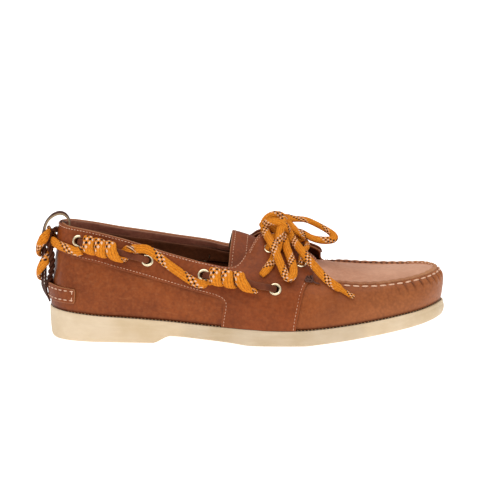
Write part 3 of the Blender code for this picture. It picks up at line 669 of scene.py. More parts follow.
@dataclass(frozen=True)
class Braid:
    """Braided polyester cord: matte yarns over and under each other, with black and pale tracer yarns winding round.

    The yarns are drawn about twice as coarse as real ones, so that they show.
    """

    name: str = "braided_polyester_cord"
    yarn: str = "#E08212"
    light: str = "#F2A034"
    shade: str = "#8C440E"
    tracers: tuple = ("#1B1014", "#EBBE9C", "#1B1014", "#EBBE9C")
    yarns: int = YARNS
    lay_mm: float = YARN_LAY

    def material(self) -> Material:
        """Builds the weave on the piece's UV map: metres along, then share of the way round.

        Returns:
            The material.
        """
        made, tree, shader = blank(self.name, 0.82, 1.5)
        uv = add(tree, "ShaderNodeSeparateXYZ", {0: add(tree, "ShaderNodeUVMap", uv_map="UVMap").outputs[0]})
        along = add(tree, "ShaderNodeMath", {0: uv.outputs[0], 1: per_metre(self.lay_mm)}, operation="MULTIPLY")
        around = add(tree, "ShaderNodeMath", {0: uv.outputs[1], 1: float(self.yarns)}, operation="MULTIPLY")
        cells, crowns = [], []
        for how in ("ADD", "SUBTRACT"):
            way = add(tree, "ShaderNodeMath", {0: around.outputs[0], 1: along.outputs[0]}, operation=how)
            cells.append(add(tree, "ShaderNodeMath", {0: way.outputs[0]}, operation="FLOOR").outputs[0])
            crowns.append(add(tree, "ShaderNodeMath", {0: way.outputs[0], 1: 0.5}, operation="PINGPONG").outputs[0])
        both = add(tree, "ShaderNodeMath", {0: cells[0], 1: cells[1]}, operation="ADD")
        under = add(tree, "ShaderNodeMath", {0: both.outputs[0], 1: 2.0}, operation="FLOORED_MODULO")
        height = add(tree, "ShaderNodeMix", {0: under.outputs[0], 2: crowns[0], 3: crowns[1]}).outputs[0]
        rib = add(tree, "ShaderNodeMath", {0: around.outputs[0], 1: 0.5}, operation="PINGPONG").outputs[0]
        at = add(tree, "ShaderNodeTexCoord").outputs["Object"]
        fuzz = add(tree, "ShaderNodeTexNoise", {"Vector": at, "Scale": per_metre(1.6), "Detail": 4.0}).outputs[0]
        # Painted shade: yarns darker where they dip under their neighbours, and dark grooves between the columns of
        # yarn.
        raised = add(tree, "ShaderNodeMapRange", {0: height, 1: 0.0, 2: 0.16, 3: 0.3, 4: 1.0})
        colour = add(
            tree, "ShaderNodeMix", {0: raised.outputs[0], 6: linear(self.shade), 7: linear(self.yarn)},
            data_type="RGBA",
        )
        colour = layered(
            tree, colour.outputs[2],
            (
                (fuzz, 0.4, 0.75, 0.6, self.light), (fuzz, 0.45, 0.25, 0.3, self.shade),
                (rib, 0.15, 0.02, 0.7, self.shade),
            ),
        )
        which = add(tree, "ShaderNodeMath", {0: cells[0], 1: float(self.yarns)}, operation="FLOORED_MODULO")
        over = add(tree, "ShaderNodeMath", {0: 1.0, 1: under.outputs[0]}, operation="SUBTRACT")
        for number, tone in enumerate(self.tracers):
            hit = add(tree, "ShaderNodeMath", {0: which.outputs[0], 1: float(number), 2: 0.5}, operation="COMPARE")
            part = add(tree, "ShaderNodeMath", {0: hit.outputs[0], 1: over.outputs[0]}, operation="MULTIPLY")
            mix = add(tree, "ShaderNodeMix", {0: part.outputs[0], 6: colour, 7: linear(tone)}, data_type="RGBA")
            colour = mix.outputs[2]
        surfaced(tree, shader, colour, ((1.0, 0.45, height), (0.6, 0.5, rib), (0.4, 0.15, fuzz)))
        shader.inputs["Specular IOR Level"].default_value = 0.2
        return made


@dataclass(frozen=True)
class Rubber:
    """Moulded natural rubber, uncoloured: cream, faintly cloudy and matte, with a fine mould grain."""

    name: str = "moulded_cream_rubber"
    base: str = "#D9C3A4"
    shade: str = "#CDB48F"
    bloom: str = "#F6E6C9"
    soil: str = "#2E1408"

    def material(self) -> Material:
        """Builds the finish on Object coordinates, darker with painted shade at the piece's own marks.

        Returns:
            The material.
        """
        made, tree, shader = blank(self.name, 0.55, 1.52)
        at = add(tree, "ShaderNodeTexCoord").outputs["Object"]
        flow = add(tree, "ShaderNodeMapping", {"Vector": at, "Scale": (0.12, 1.0, 1.0)}).outputs[0]
        cloud, streak, grain = (
            add(tree, "ShaderNodeTexNoise", {"Vector": place, "Scale": per_metre(size), "Detail": detail}).outputs[0]
            for place, size, detail in ((at, 26.0, 5.0), (flow, 3.0, 3.0), (at, 0.8, 2.0))
        )
        # The marks paint shade: the dark line at the joint with the upper, the waist and the sipes.
        painted_shade_mark = add(tree, "ShaderNodeAttribute", attribute_name="edge").outputs["Fac"]
        colour = layered(
            tree, linear(self.shade),
            (
                (cloud, 0.35, 0.65, 1.0, self.base), (streak, 0.5, 0.8, 0.2, self.bloom),
                (painted_shade_mark, 0.2, 1.0, 0.95, self.soil),
            ),
        )
        surfaced(tree, shader, colour, ((0.35, 0.08, grain),))
        return made


@dataclass(frozen=True)
class Metal:
    """Brass, stamped and plated pale gold: bright, with the faint haze of tumbled plating."""

    name: str = "pale_plated_brass"
    base: str = "#F2E4C2"
    tarnish: str = "#D3B87E"
    roughness: float = 0.24

    def material(self) -> Material:
        """Builds the finish on Object coordinates; a metal keeps the default IOR.

        Returns:
            The material.
        """
        made, tree, shader = blank(self.name, self.roughness)
        shader.inputs["Metallic"].default_value = 1.0
        at = add(tree, "ShaderNodeTexCoord").outputs["Object"]
        haze = add(tree, "ShaderNodeTexNoise", {"Vector": at, "Scale": per_metre(1.2), "Detail": 4.0}).outputs[0]
        surfaced(tree, shader, layered(tree, linear(self.base), ((haze, 0.4, 0.7, 0.35, self.tarnish),)))
        rough = add(
            tree, "ShaderNodeMapRange", {0: haze, 1: 0.3, 2: 0.7, 3: self.roughness - 0.06, 4: self.roughness + 0.12}
        )
        tree.links.new(rough.outputs[0], shader.inputs["Roughness"])
        return made


@dataclass(frozen=True)
class Thread:
    """Waxed, bonded polyester thread: matte and fuzzy, a little uneven in colour."""

    name: str
    base: str
    shade: str
    twist_mm: float = 0.5

    def material(self) -> Material:
        """Builds the finish on Object coordinates.

        Returns:
            The material.
        """
        made, tree, shader = blank(self.name, 0.7, 1.5)
        at = add(tree, "ShaderNodeTexCoord").outputs["Object"]
        lay, patch = (
            add(tree, "ShaderNodeTexNoise", {"Vector": at, "Scale": per_metre(size), "Detail": 2.0}).outputs[0]
            for size in (self.twist_mm, 9.0)
        )
        colour = layered(
            tree, linear(self.base), ((lay, 0.35, 0.65, 0.6, self.shade), (patch, 0.5, 0.8, 0.5, self.shade))
        )
        surfaced(tree, shader, colour, ((0.5, 0.08, lay),))
        return made


@dataclass(frozen=True)
class Board:
    """A studio table of opal acrylic, softly lit from below: matt white, very slightly uneven in tone."""

    name: str = "opal_acrylic_table"
    base: str = "#B9B8B7"
    shade: str = "#B2B1B0"
    light: str = "#FBFAF9"

    def material(self) -> Material:
        """Builds the finish on Object coordinates.

        Returns:
            The material.
        """
        made, tree, shader = blank(self.name, 0.9)
        at = add(tree, "ShaderNodeTexCoord").outputs["Object"]
        tone = add(tree, "ShaderNodeTexNoise", {"Vector": at, "Scale": per_metre(600.0), "Detail": 2.0})
        colour = add(
            tree, "ShaderNodeMix", {0: tone.outputs[0], 6: linear(self.base), 7: linear(self.shade)}, data_type="RGBA"
        )
        surfaced(tree, shader, colour.outputs[2])
        shader.inputs["Emission Color"].default_value = linear(self.light)
        shader.inputs["Emission Strength"].default_value = 1.0
        return made


class Finishes:
    """Every material of the shoe, made once."""

    def __init__(self) -> None:
        """Builds the materials."""
        # Oiled hide, lasted wet: warm satin tan with cloudy depth, pebbled at the toe and paler there, partly pulled
        # up and partly a painted sheen.
        self.body = Leather(
            "oiled_saddle_leather", "#90471B", "#7C3A15", "#AA673C", toe_share=0.75, pebble=0.2
        ).material()
        # The same hide cut as an overlay: a shade darker, with a raw tan edge.
        self.saddle = Leather(
            "oiled_saddle_leather_overlay", "#8B4219", "#783712", "#A25C34", raw="#8A4A28"
        ).material()
        # Sanded and burnished hide: dry, pinkish and pale, paler toward the toe with a painted highlight.
        self.plug = Leather(
            "burnished_plug_leather", "#C2886A", "#AF7658", "#D8AA8E", fold="#8A563C", roughness=0.5, toe_share=0.45
        ).material()
        # Hide folded over the seam: stretched, so it is lighter and its grain is finer; paler toward the toe with a
        # painted highlight.
        self.ridge = Leather(
            "folded_seam_leather", "#935030", "#7C4026", "#C08A60", grain_mm=1.4, toe_share=0.6
        ).material()
        # Softer, thinner hide: a little darker and finer in grain.
        self.tongue = Leather("oiled_tongue_leather", "#833E19", "#703213", "#985434", grain_mm=1.3).material()
        # Drum-dyed lining: dull and dark inside the shoe.
        self.lining = Leather(
            "dyed_lining_leather", "#6A3519", "#542A14", "#7A4428", fold="#34180B", raw="#7A4A34", roughness=0.6
        ).material()
        # Undyed facing, handled often: rosy, with a polish.
        self.collar = Leather(
            "collar_facing_leather", "#A2624C", "#8C503E", "#A86C56", fold="#5C3423", raw="#A87860", roughness=0.5
        ).material()
        # Vegetable-tanned strap, dyed through: nearly black-brown and dull, with a pale cut edge that at the loop is
        # also a painted highlight.
        self.strap = Leather(
            "dark_strap_leather", "#4C2715", "#38190D", "#653B28", fold="#22100A", raw="#A08A6C", edge_share=0.9,
            roughness=0.6, gloss=0.1,
        ).material()
        # The hide's inner face: napped, matt and buff.
        self.flesh = Leather(
            "suede_flesh_side", "#A98A6E", "#93755A", "#C0A488", fold="#7A5E46", roughness=0.85, grain_mm=0.9
        ).material()
        # Cut rawhide lace, dyed and waxed: dark and smooth, a little lighter at its cut edges.
        self.rawhide = Leather(
            "cut_rawhide_lace", "#6E361C", "#572914", "#8A5030", fold="#3A1A0C", raw="#93603E", roughness=0.55,
            cloud_mm=14.0,
        ).material()
        # Smooth sock leather over the insole: very dark, with a soft sheen.
        self.footbed = Leather(
            "smooth_footbed_leather", "#3A1C10", "#2C140B", "#4C2A1A", fold="#1E0E08", roughness=0.5
        ).material()
        self.braid = Braid().material()
        self.rubber = Rubber().material()
        self.brass = Metal().material()
        # Waxed sewing thread in cream, thick in the hand-sewn seam, dark in its knots, white on the strap and
        # natural round the sole.
        self.thread = Thread("cream_waxed_thread", "#D9A88A", "#C08C6C").material()
        self.hand_thread = Thread("thick_cream_thread", "#E4BCA0", "#C99878", twist_mm=0.9).material()
        self.knot = Thread("dark_waxed_thread", "#5C3322", "#3A1D12", twist_mm=0.9).material()
        self.white_thread = Thread("white_cotton_thread", "#F1E6DA", "#D9C6B4").material()
        self.welt_thread = Thread("natural_welt_thread", "#B58E66", "#8E6844").material()
        self.floor = Board().material()


# -------------------- Making meshes --------------------


def in_scene(name: str, data: bpy.types.ID) -> Object:
    """A new object of the scene that holds the data."""
    made = bpy.data.objects.new(name, data)
    bpy.context.scene.collection.objects.link(made)
    return made


def keep(made: Object, slot: str, *nodes: str) -> Object:
    """Makes an object a piece of the shoe.

    Args:
        made: the object.
        slot: a material slot's name; not used.
        *nodes: the CAD nodes that it stands for.

    Returns:
        The object.
    """
    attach(made, BODY)
    if nodes:
        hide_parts(*nodes)
    log.info("%s: %d faces", made.name, len(made.data.polygons))
    return made


def mesh_object(
    name: str,
    points: Array,
    faces: Sequence[Sequence[int]],
    looks: Sequence[Material],
    look_of: Sequence[int] | None = None,
    edge: Array | None = None,
    uv: Array | None = None,
    closed: bool = True,
) -> Object:
    """A smooth-shaded mesh object from points in the shoe's millimetres.

    Args:
        name: the object's name.
        points: its vertices.
        faces: its faces.
        looks: its materials.
        look_of: the material's number for each face.
        edge: a mark for each vertex that the finish reads: one at a pale cut edge, partly a painted highlight; other
            values paint shade.
        uv: a pair for each corner of each face.
        closed: whether the mesh is a closed solid, which is then made to face outwards.

    Returns:
        The object.
    """
    mesh = bpy.data.meshes.new(name)
    mesh.from_pydata(placed(points).tolist(), [], [tuple(map(int, f)) for f in faces])
    for look in looks:
        mesh.materials.append(look)
    if look_of is not None:
        mesh.polygons.foreach_set("material_index", np.asarray(look_of, np.int32))
    if edge is not None:
        mesh.attributes.new("edge", "FLOAT", "POINT").data.foreach_set("value", np.asarray(edge, np.float32))
    if uv is not None:
        mesh.uv_layers.new(name="UVMap").data.foreach_set("uv", np.asarray(uv, np.float32).ravel())
    mesh.polygons.foreach_set("use_smooth", np.ones(len(mesh.polygons), bool))
    if closed:
        bm = bmesh.new()
        bm.from_mesh(mesh)
        if bm.calc_volume(signed=True) < 0:
            bmesh.ops.reverse_faces(bm, faces=bm.faces)
            bm.to_mesh(mesh)
        bm.free()
    mesh.update()
    return in_scene(name, mesh)


def grid_faces(rows: int, cols: int, rows_close: bool = False, cols_close: bool = False) -> Faces:
    """Faces of a grid of points, which may close along either way.

    Args:
        rows: the number of its rows.
        cols: the number of points in a row.
        rows_close: whether the last row is joined to the first.
        cols_close: whether the last point of a row is joined to its first.

    Returns:
        Four vertex numbers for each face.
    """
    return [
        (i * cols + j, (i + 1) % rows * cols + j, (i + 1) % rows * cols + (j + 1) % cols, i * cols + (j + 1) % cols)
        for i in range(rows if rows_close else rows - 1)
        for j in range(cols if cols_close else cols - 1)
    ]


def thicken(made: Object, thickness: float, round_off: float, outward: bool = False) -> Object:
    """Gives an open sheet its thickness and rounds its cut edges.

    Args:
        made: the sheet, whose faces are its outer side unless outward is true.
        thickness: in millimetres.
        round_off: width of the rounding, in millimetres.
        outward: whether the thickness goes out from the sheet.

    Returns:
        The same object.
    """
    solid = made.modifiers.new("thickness", "SOLIDIFY")
    solid.thickness = thickness * MM
    solid.offset = 1.0 if outward else -1.0
    solid.use_even_offset = True
    if len(made.data.materials) > 1:
        solid.material_offset = 1
    if round_off:
        bevel = made.modifiers.new("rounded edge", "BEVEL")
        bevel.width = round_off * MM
        bevel.segments = 2
        bevel.limit_method = "ANGLE"
        bevel.angle_limit = math.radians(55)
    return made


def sheet(
    name: str,
    grid: Array,
    thickness: float,
    looks: Sequence[Material],
    round_off: float = 0.3,
    facing: tuple = (0.0, 0.0, 1.0),
) -> Object:
    """A leather sheet behind a grid of points, with its rim marked as a cut edge.

    Args:
        name: the object's name.
        grid: points of its face.
        thickness: in millimetres.
        looks: its face's material, and its back's if that is another.
        round_off: width of the rounding of its edges.
        facing: the way that its face looks.

    Returns:
        The object.
    """
    rows, cols = grid.shape[:2]
    normals = np.cross(grid[1:, :-1] - grid[:-1, :-1], grid[:-1, 1:] - grid[:-1, :-1])
    if float(normals.reshape(-1, 3).sum(0) @ np.array(facing)) < 0:
        grid = grid[:, ::-1]
    edge = np.zeros((rows, cols))
    edge[[0, -1], :] = edge[:, [0, -1]] = 1.0
    made = mesh_object(name, grid.reshape(-1, 3), grid_faces(rows, cols), looks, edge=edge.ravel(), closed=False)
    return thicken(made, thickness, round_off)


def inside(flat: Array, outline: Array) -> Array:
    """Whether points of a plane lie inside an outline.

    Args:
        flat: the points.
        outline: the outline's points.

    Returns:
        True or false for each point.
    """
    x, y = flat[:, 0][:, None], flat[:, 1][:, None]
    a, b = outline, np.roll(outline, -1, 0)
    crosses = (a[:, 1] > y) != (b[:, 1] > y)
    slope = np.where(b[:, 1] == a[:, 1], 1e-9, b[:, 1] - a[:, 1])
    return (crosses & (x < (b[:, 0] - a[:, 0]) * (y - a[:, 1]) / slope + a[:, 0])).sum(1) % 2 == 1


@dataclass
class Panel:
    """A piece of leather cut to an outline on the last's chart, with holes, and laid on its surface."""

    last: Last
    outline: Array
    holes: list[Array] = field(default_factory=list)
    spacing: float = 2.0

    def flat_mesh(self) -> tuple[Array, list, Array]:
        """Fills the outline with triangles.

        Returns:
            The points, the faces, and a mark that is one at the points of the rims.
        """
        rims = [self.outline, *self.holes]
        low, high = self.outline.min(0), self.outline.max(0)
        step = self.spacing
        s, h = np.meshgrid(np.arange(low[0], high[0], step), np.arange(low[1], high[1], step * 0.87), indexing="ij")
        s = s + step / 2 * (np.arange(s.shape[1]) % 2)
        fill = np.column_stack([s.ravel(), h.ravel()])
        fill = fill[inside(fill, self.outline)]
        for rim in rims:
            near = np.sqrt(((fill[:, None] - rim[None]) ** 2).sum(2)).min(1)
            fill = fill[near > step * 0.55]
        for hole in self.holes:
            fill = fill[~inside(fill, hole)]
        points, edges = [], []
        for rim in rims:
            first = len(points)
            points += rim.tolist()
            edges += [(first + k, first + (k + 1) % len(rim)) for k in range(len(rim))]
        count = len(points)
        points += fill.tolist()
        verts, _, faces, origin, _, _ = delaunay_2d_cdt([Vector(p) for p in points], edges, [], 1, 1e-5, True)
        verts = np.array([tuple(v) for v in verts])
        middle = np.array([verts[list(f)].mean(0) for f in faces])
        kept = inside(middle, self.outline)
        for hole in self.holes:
            kept &= ~inside(middle, hole)
        faces = [f for f, stays in zip(faces, kept, strict=True) if stays]
        rim_mark = np.array([1.0 if any(k < count for k in o) else 0.0 for o in origin])
        return verts, faces, rim_mark

    def build(self, name: str, lift: float, thickness: float, look: Material, round_off: float = 0.35,
              relief: Relief | None = None) -> Object:
        """Lays the panel on the last.

        Args:
            name: the object's name.
            lift: distance from the last's surface to the panel's back.
            thickness: the leather's thickness.
            look: its material.
            round_off: width of the rounding of its cut edges.
            relief: extra lift for each u and v.

        Returns:
            The object.
        """
        flat, faces, rim = self.flat_mesh()
        u, v = self.last.rows_of(flat)
        extra = relief(u, v) if relief else 0.0
        points = self.last.wall(u, v, lift + extra)
        made = mesh_object(name, points, faces, [look], edge=rim, closed=False)
        return thicken(made, thickness, round_off, outward=True)


def crossways(path: Array, out: Array | None = None) -> tuple[Array, Array, Array]:
    """The directions along a path, out of it and across it.

    Args:
        path: its points.
        out: the wanted outward direction at each point; without it the directions twist as little as they can.

    Returns:
        Unit vectors along, outward and across.
    """
    along = unit(np.gradient(path, axis=0))
    if out is not None:
        away = unit(out - along * (out * along).sum(1, keepdims=True))
        return along, away, np.cross(along, away)
    away = np.zeros_like(path)
    seed = UP if abs(along[0][2]) < 0.9 else np.array([1.0, 0.0, 0.0])
    away[0] = unit(seed - along[0] * (seed @ along[0]))
    # Each outward direction is the one before it, mirrored twice, which adds no twist.
    for k in range(1, len(path)):
        v = path[k] - path[k - 1]
        c = max(float(v @ v), 1e-12)
        a = away[k - 1] - v * (2 / c * (v @ away[k - 1]))
        t = along[k - 1] - v * (2 / c * (v @ along[k - 1]))
        w = along[k] - t
        c = max(float(w @ w), 1e-12)
        away[k] = a - w * (2 / c * (w @ a))
    return along, away, np.cross(along, away)


def sweep(
    name: str,
    path: Array,
    width: Array | float,
    depth: Array | float,
    look: Material,
    out: Array | None = None,
    around: int = 20,
    square: float = 2.0,
    relief: Relief | None = None,
    start: float = 0.0,
    edge_mark: bool = False,
    pace: float = 1.0,
) -> Object:
    """A closed band or tube along a path, with a UV map: metres along, share of the way round.

    Args:
        name: the object's name.
        path: its points.
        width: size across, for the whole path or each point.
        depth: size in the outward direction.
        look: its material.
        out: the outward direction at each point.
        around: number of points round the section.
        square: how square the section is; 2 is an ellipse.
        relief: factor on the section's size for each distance along and share round.
        start: distance along at the path's first point, in millimetres.
        edge_mark: whether the narrow sides are marked as cut edges.
        pace: how fast the distance along grows; under one, the braid is drawn out.

    Returns:
        The object.
    """
    along, away, across = crossways(path, out)
    run = start + pace * run_of(path)
    turn = np.arange(around) / around
    angle = 2 * math.pi * turn
    sx, sy = np.cos(angle), np.sin(angle)
    section = np.stack(
        [np.sign(sx) * np.abs(sx) ** (2 / square), np.sign(sy) * np.abs(sy) ** (2 / square)], axis=1
    )
    half = np.stack([np.broadcast_to(width, len(path)) / 2, np.broadcast_to(depth, len(path)) / 2], axis=1)
    rings = section[None] * half[:, None]
    if relief:
        rings = rings * relief(run[:, None], turn[None])[:, :, None]
    points = path[:, None] + rings[:, :, :1] * across[:, None] + rings[:, :, 1:] * away[:, None]
    tip = 0.28 * half.min(1)[[0, -1]]
    ends = [path[k] + (points[k] - path[k]) * 0.8 + along[k] * sign * tip[k] for k, sign in ((0, -1), (-1, 1))]
    rows = np.concatenate([ends[0][None], points, ends[1][None]])
    run = np.concatenate([[run[0]], run, [run[-1]]])
    n = len(rows)
    verts = [*rows.reshape(-1, 3), path[0] - along[0] * tip[0] * 1.3, path[-1] + along[-1] * tip[1] * 1.3]
    faces, uv = [], []
    for i in range(n - 1):
        for j in range(around):
            k = (j + 1) % around
            faces.append((i * around + j, i * around + k, (i + 1) * around + k, (i + 1) * around + j))
            a, b = j / around, (j + 1) / around
            uv += [(run[i] * MM, a), (run[i] * MM, b), (run[i + 1] * MM, b), (run[i + 1] * MM, a)]
    for j in range(around):
        k = (j + 1) % around
        faces.append((n * around, k, j))
        uv += [(run[0] * MM, j / around)] * 3
        faces.append((n * around + 1, (n - 1) * around + j, (n - 1) * around + k))
        uv += [(run[-1] * MM, j / around)] * 3
    side = np.clip((np.abs(section[:, 0]) - 0.75) / 0.25, 0, 1) if edge_mark else np.zeros(around)
    edge = np.concatenate([np.tile(side, n), [0.0, 0.0]])
    return mesh_object(name, np.array(verts), faces, [look], edge=edge, uv=np.array(uv))


def braided(run: Array, turn: Array) -> Array:
    """The relief of the braid.

    Args:
        run: distances along the cord.
        turn: shares of the way round it.

    Returns:
        A factor on the cord's size.
    """
    left, right = turn * YARNS + run / YARN_LAY, turn * YARNS - run / YARN_LAY
    over = (np.floor(left) + np.floor(right)) % 2
    crown = [1 - 2 * np.abs(way % 1 - 0.5) for way in (left, right)]
    return 1 + 0.035 * (np.where(over == 0, crown[0], crown[1]) - 0.5)


def stretched(run: Array, turn: Array) -> Array:
    """The relief of a cut lace.

    Args:
        run: distances along the lace.
        turn: shares of the way round it.

    Returns:
        A factor on the lace's size.
    """
    return 1 + 0.03 * np.sin(run / 2.3 + 6 * turn)


# -------------------- Geometry Nodes: what repeats along a line --------------------


def node_tree(name: str, inputs: dict[str, tuple[str, object]]) -> tuple[NodeTree, Node]:
    """Starts a geometry tree.

    Args:
        name: its name.
        inputs: the type and the default value of each named input.

    Returns:
        The tree and its input node.
    """
    tree = bpy.data.node_groups.new(name, "GeometryNodeTree")
    tree.interface.new_socket("Lines", in_out="INPUT", socket_type="NodeSocketGeometry")
    tree.interface.new_socket("Result", in_out="OUTPUT", socket_type="NodeSocketGeometry")
    for label, (kind, value) in inputs.items():
        made = tree.interface.new_socket(label, in_out="INPUT", socket_type=kind)
        if value is not None:
            made.default_value = value
    return tree, add(tree, "NodeGroupInput")


def run_tree(
    name: str, tree: NodeTree, lines: Sequence[Array], outs: Sequence[Array], values: dict
) -> Object:
    """Runs a tree on lines of points and keeps the result as a plain mesh.

    Args:
        name: the new object's name.
        tree: the tree.
        lines: the lines, in the shoe's millimetres.
        outs: the outward direction at each of their points.
        values: a value for each named input.

    Returns:
        The object.
    """
    points, edges = [], []
    for line in lines:
        edges += [(len(points) + k, len(points) + k + 1) for k in range(len(line) - 1)]
        points += placed(line).tolist()
    mesh = bpy.data.meshes.new(name + "_line")
    mesh.from_pydata(points, edges, [])
    mesh.attributes.new("out", "FLOAT_VECTOR", "POINT").data.foreach_set(
        "vector", np.concatenate(outs).astype(np.float32).ravel()
    )
    host = in_scene(name + "_line", mesh)
    modifier = host.modifiers.new("rule", "NODES")
    modifier.node_group = tree
    for item in tree.interface.items_tree:
        if item.item_type == "SOCKET" and item.in_out == "INPUT" and item.name in values:
            modifier[item.identifier] = values[item.name]
    graph = bpy.context.evaluated_depsgraph_get()
    result = bpy.data.meshes.new_from_object(host.evaluated_get(graph))
    bpy.data.objects.remove(host)
    result.name = name
    return in_scene(name, result)


def turned(tree: NodeTree, first: NodeSocket | tuple) -> NodeSocket:
    """Adds the rotation that takes Z along the line's outward direction.

    Args:
        tree: the tree.
        first: the direction that X is taken along before that.

    Returns:
        The rotation's socket.
    """
    out = add(tree, "GeometryNodeInputNamedAttribute", {"Name": "out"}, data_type="FLOAT_VECTOR")
    turn = add(tree, "FunctionNodeAlignRotationToVector", {"Vector": first}, axis="X")
    return add(
        tree, "FunctionNodeAlignRotationToVector",
        {"Rotation": turn.outputs[0], "Vector": out.outputs["Attribute"]}, axis="Z", pivot_axis="X",
    ).outputs[0]


def finish_tree(tree: NodeTree, geometry: NodeSocket, look: NodeSocket) -> None:
    """Ends a tree: real geometry, smooth, with its material.

    Args:
        tree: the tree.
        geometry: what it has made.
        look: the material.
    """
    real = add(tree, "GeometryNodeRealizeInstances", {"Geometry": geometry})
    smooth = add(tree, "GeometryNodeSetShadeSmooth", {"Geometry": real.outputs[0]})
    dressed = add(tree, "GeometryNodeSetMaterial", {"Geometry": smooth.outputs[0], "Material": look})
    add(tree, "NodeGroupOutput", {0: dressed.outputs[0]})


def stitch_tree() -> NodeTree:
    """Stitches along lines: one bead of thread at each pitch, its ends sunk in the leather.

    Returns:
        The tree.
    """
    tree, given = node_tree(
        "stitch_row",
        {
            "Pitch": ("NodeSocketFloat", 0.003),
            "Half length": ("NodeSocketFloat", 0.0011),
            "Half width": ("NodeSocketFloat", 0.0003),
            "Sway": ("NodeSocketFloat", 0.06),
            "Thread": ("NodeSocketMaterial", None),
        },
    )
    line = add(tree, "GeometryNodeMeshToCurve", {"Mesh": given.outputs["Lines"]})
    spots = add(tree, "GeometryNodeResampleCurve", {"Curve": line.outputs[0]}, mode="LENGTH")
    tree.links.new(given.outputs["Pitch"], spots.inputs["Length"])
    turn = turned(tree, add(tree, "GeometryNodeInputTangent").outputs[0])
    low = add(tree, "ShaderNodeMath", {0: given.outputs["Sway"], 1: -1.0}, operation="MULTIPLY")
    sway = add(tree, "FunctionNodeRandomValue", {"Seed": 7}, data_type="FLOAT")
    tree.links.new(low.outputs[0], sway.inputs[2])
    tree.links.new(given.outputs["Sway"], sway.inputs[3])
    euler = add(tree, "ShaderNodeCombineXYZ", {2: sway.outputs[1]})
    swayed = add(tree, "FunctionNodeRotateRotation", {"Rotation": turn}, rotation_space="LOCAL")
    tree.links.new(add(tree, "FunctionNodeEulerToRotation", {0: euler.outputs[0]}).outputs[0], swayed.inputs[1])
    bead = add(tree, "GeometryNodeMeshUVSphere", {"Segments": 8, "Rings": 6, "Radius": 1.0})
    size = add(
        tree, "ShaderNodeCombineXYZ",
        {0: given.outputs["Half length"], 1: given.outputs["Half width"], 2: given.outputs["Half width"]},
    )
    shape = add(tree, "GeometryNodeTransform", {"Geometry": bead.outputs[0], "Scale": size.outputs[0]})
    row = add(
        tree, "GeometryNodeInstanceOnPoints",
        {"Points": spots.outputs[0], "Instance": shape.outputs[0], "Rotation": swayed.outputs[0]},
    )
    finish_tree(tree, row.outputs[0], given.outputs["Thread"])
    return tree


def eyelet_tree() -> NodeTree:
    """Eyelets at points: a rolled ring outside, a plain barrel through the leather and a flat ring inside.

    Returns:
        The tree.
    """
    tree, given = node_tree(
        "eyelets",
        {
            "Ring radius": ("NodeSocketFloat", 0.0039),
            "Ring half width": ("NodeSocketFloat", 0.00095),
            "Barrel length": ("NodeSocketFloat", 0.0052),
            "Plating": ("NodeSocketMaterial", None),
        },
    )
    circle, roll = (
        add(
            tree, "GeometryNodeCurvePrimitiveCircle",
            {"Resolution": points, "Radius": given.outputs[radius]}, mode="RADIUS",
        )
        for points, radius in ((40, "Ring radius"), (12, "Ring half width"))
    )
    ring = add(tree, "GeometryNodeCurveToMesh", {0: circle.outputs[0], 1: roll.outputs[0]})
    flat = add(tree, "GeometryNodeTransform", {"Geometry": ring.outputs[0], "Scale": (1.0, 1.0, 0.62)})
    inner = add(tree, "ShaderNodeMath", {0: given.outputs["Ring radius"], 1: 0.0008}, operation="SUBTRACT")
    bore = add(
        tree, "GeometryNodeCurvePrimitiveCircle", {"Resolution": 32, "Radius": inner.outputs[0]}, mode="RADIUS"
    )
    wall = add(
        tree, "GeometryNodeCurvePrimitiveQuadrilateral",
        {"Width": 0.0004, "Height": given.outputs["Barrel length"]}, mode="RECTANGLE",
    )
    barrel = add(tree, "GeometryNodeCurveToMesh", {0: bore.outputs[0], 1: wall.outputs[0]})
    # The barrel goes down by half its length, and the ring inside the shoe by all of it.
    shifts = []
    for share in (-0.5, -1.0):
        down = add(tree, "ShaderNodeMath", {0: given.outputs["Barrel length"], 1: share}, operation="MULTIPLY")
        shifts.append(add(tree, "ShaderNodeCombineXYZ", {2: down.outputs[0]}))
    sunk = add(
        tree, "GeometryNodeTransform",
        {"Geometry": barrel.outputs[0], "Translation": shifts[0].outputs[0]},
    )
    back = add(
        tree, "GeometryNodeTransform",
        {"Geometry": ring.outputs[0], "Translation": shifts[1].outputs[0], "Scale": (1.0, 1.0, 0.4)},
    )
    whole = add(tree, "GeometryNodeJoinGeometry")
    for part in (back, sunk, flat):
        tree.links.new(part.outputs[0], whole.inputs[0])
    turn = turned(tree, (1.0, 0.0, 0.0))
    row = add(
        tree, "GeometryNodeInstanceOnPoints",
        {"Points": given.outputs["Lines"], "Instance": whole.outputs[0], "Rotation": turn},
    )
    finish_tree(tree, row.outputs[0], given.outputs["Plating"])
    return tree


# Pitch, length and width of the machine stitches.
STITCH = (2.5, 1.8, 0.55)


@dataclass
class Sewing:
    """Rows of stitches, all from one tree."""

    tree: NodeTree = field(default_factory=stitch_tree)

    def row(
        self,
        name: str,
        lines: Sequence[Array],
        outs: Sequence[Array],
        thread: Material,
        pitch: float = 2.7,
        length: float = 2.0,
        width: float = 0.6,
        sway: float = 0.06,
    ) -> Object:
        """Sews rows of stitches.

        Args:
            name: the object's name.
            lines: the lines to sew along.
            outs: the outward directions at their points.
            thread: the thread's material.
            pitch: distance from stitch to stitch.
            length: visible length of a stitch.
            width: the thread's width.
            sway: how far a stitch may turn off the line, in radians.

        Returns:
            The object.
        """
        values = {
            "Pitch": pitch * MM, "Half length": length / 2 * MM, "Half width": width / 2 * MM, "Sway": sway,
            "Thread": thread,
        }
        return run_tree(name, self.tree, lines, outs, values)


# -------------------- Sub-assemblies --------------------


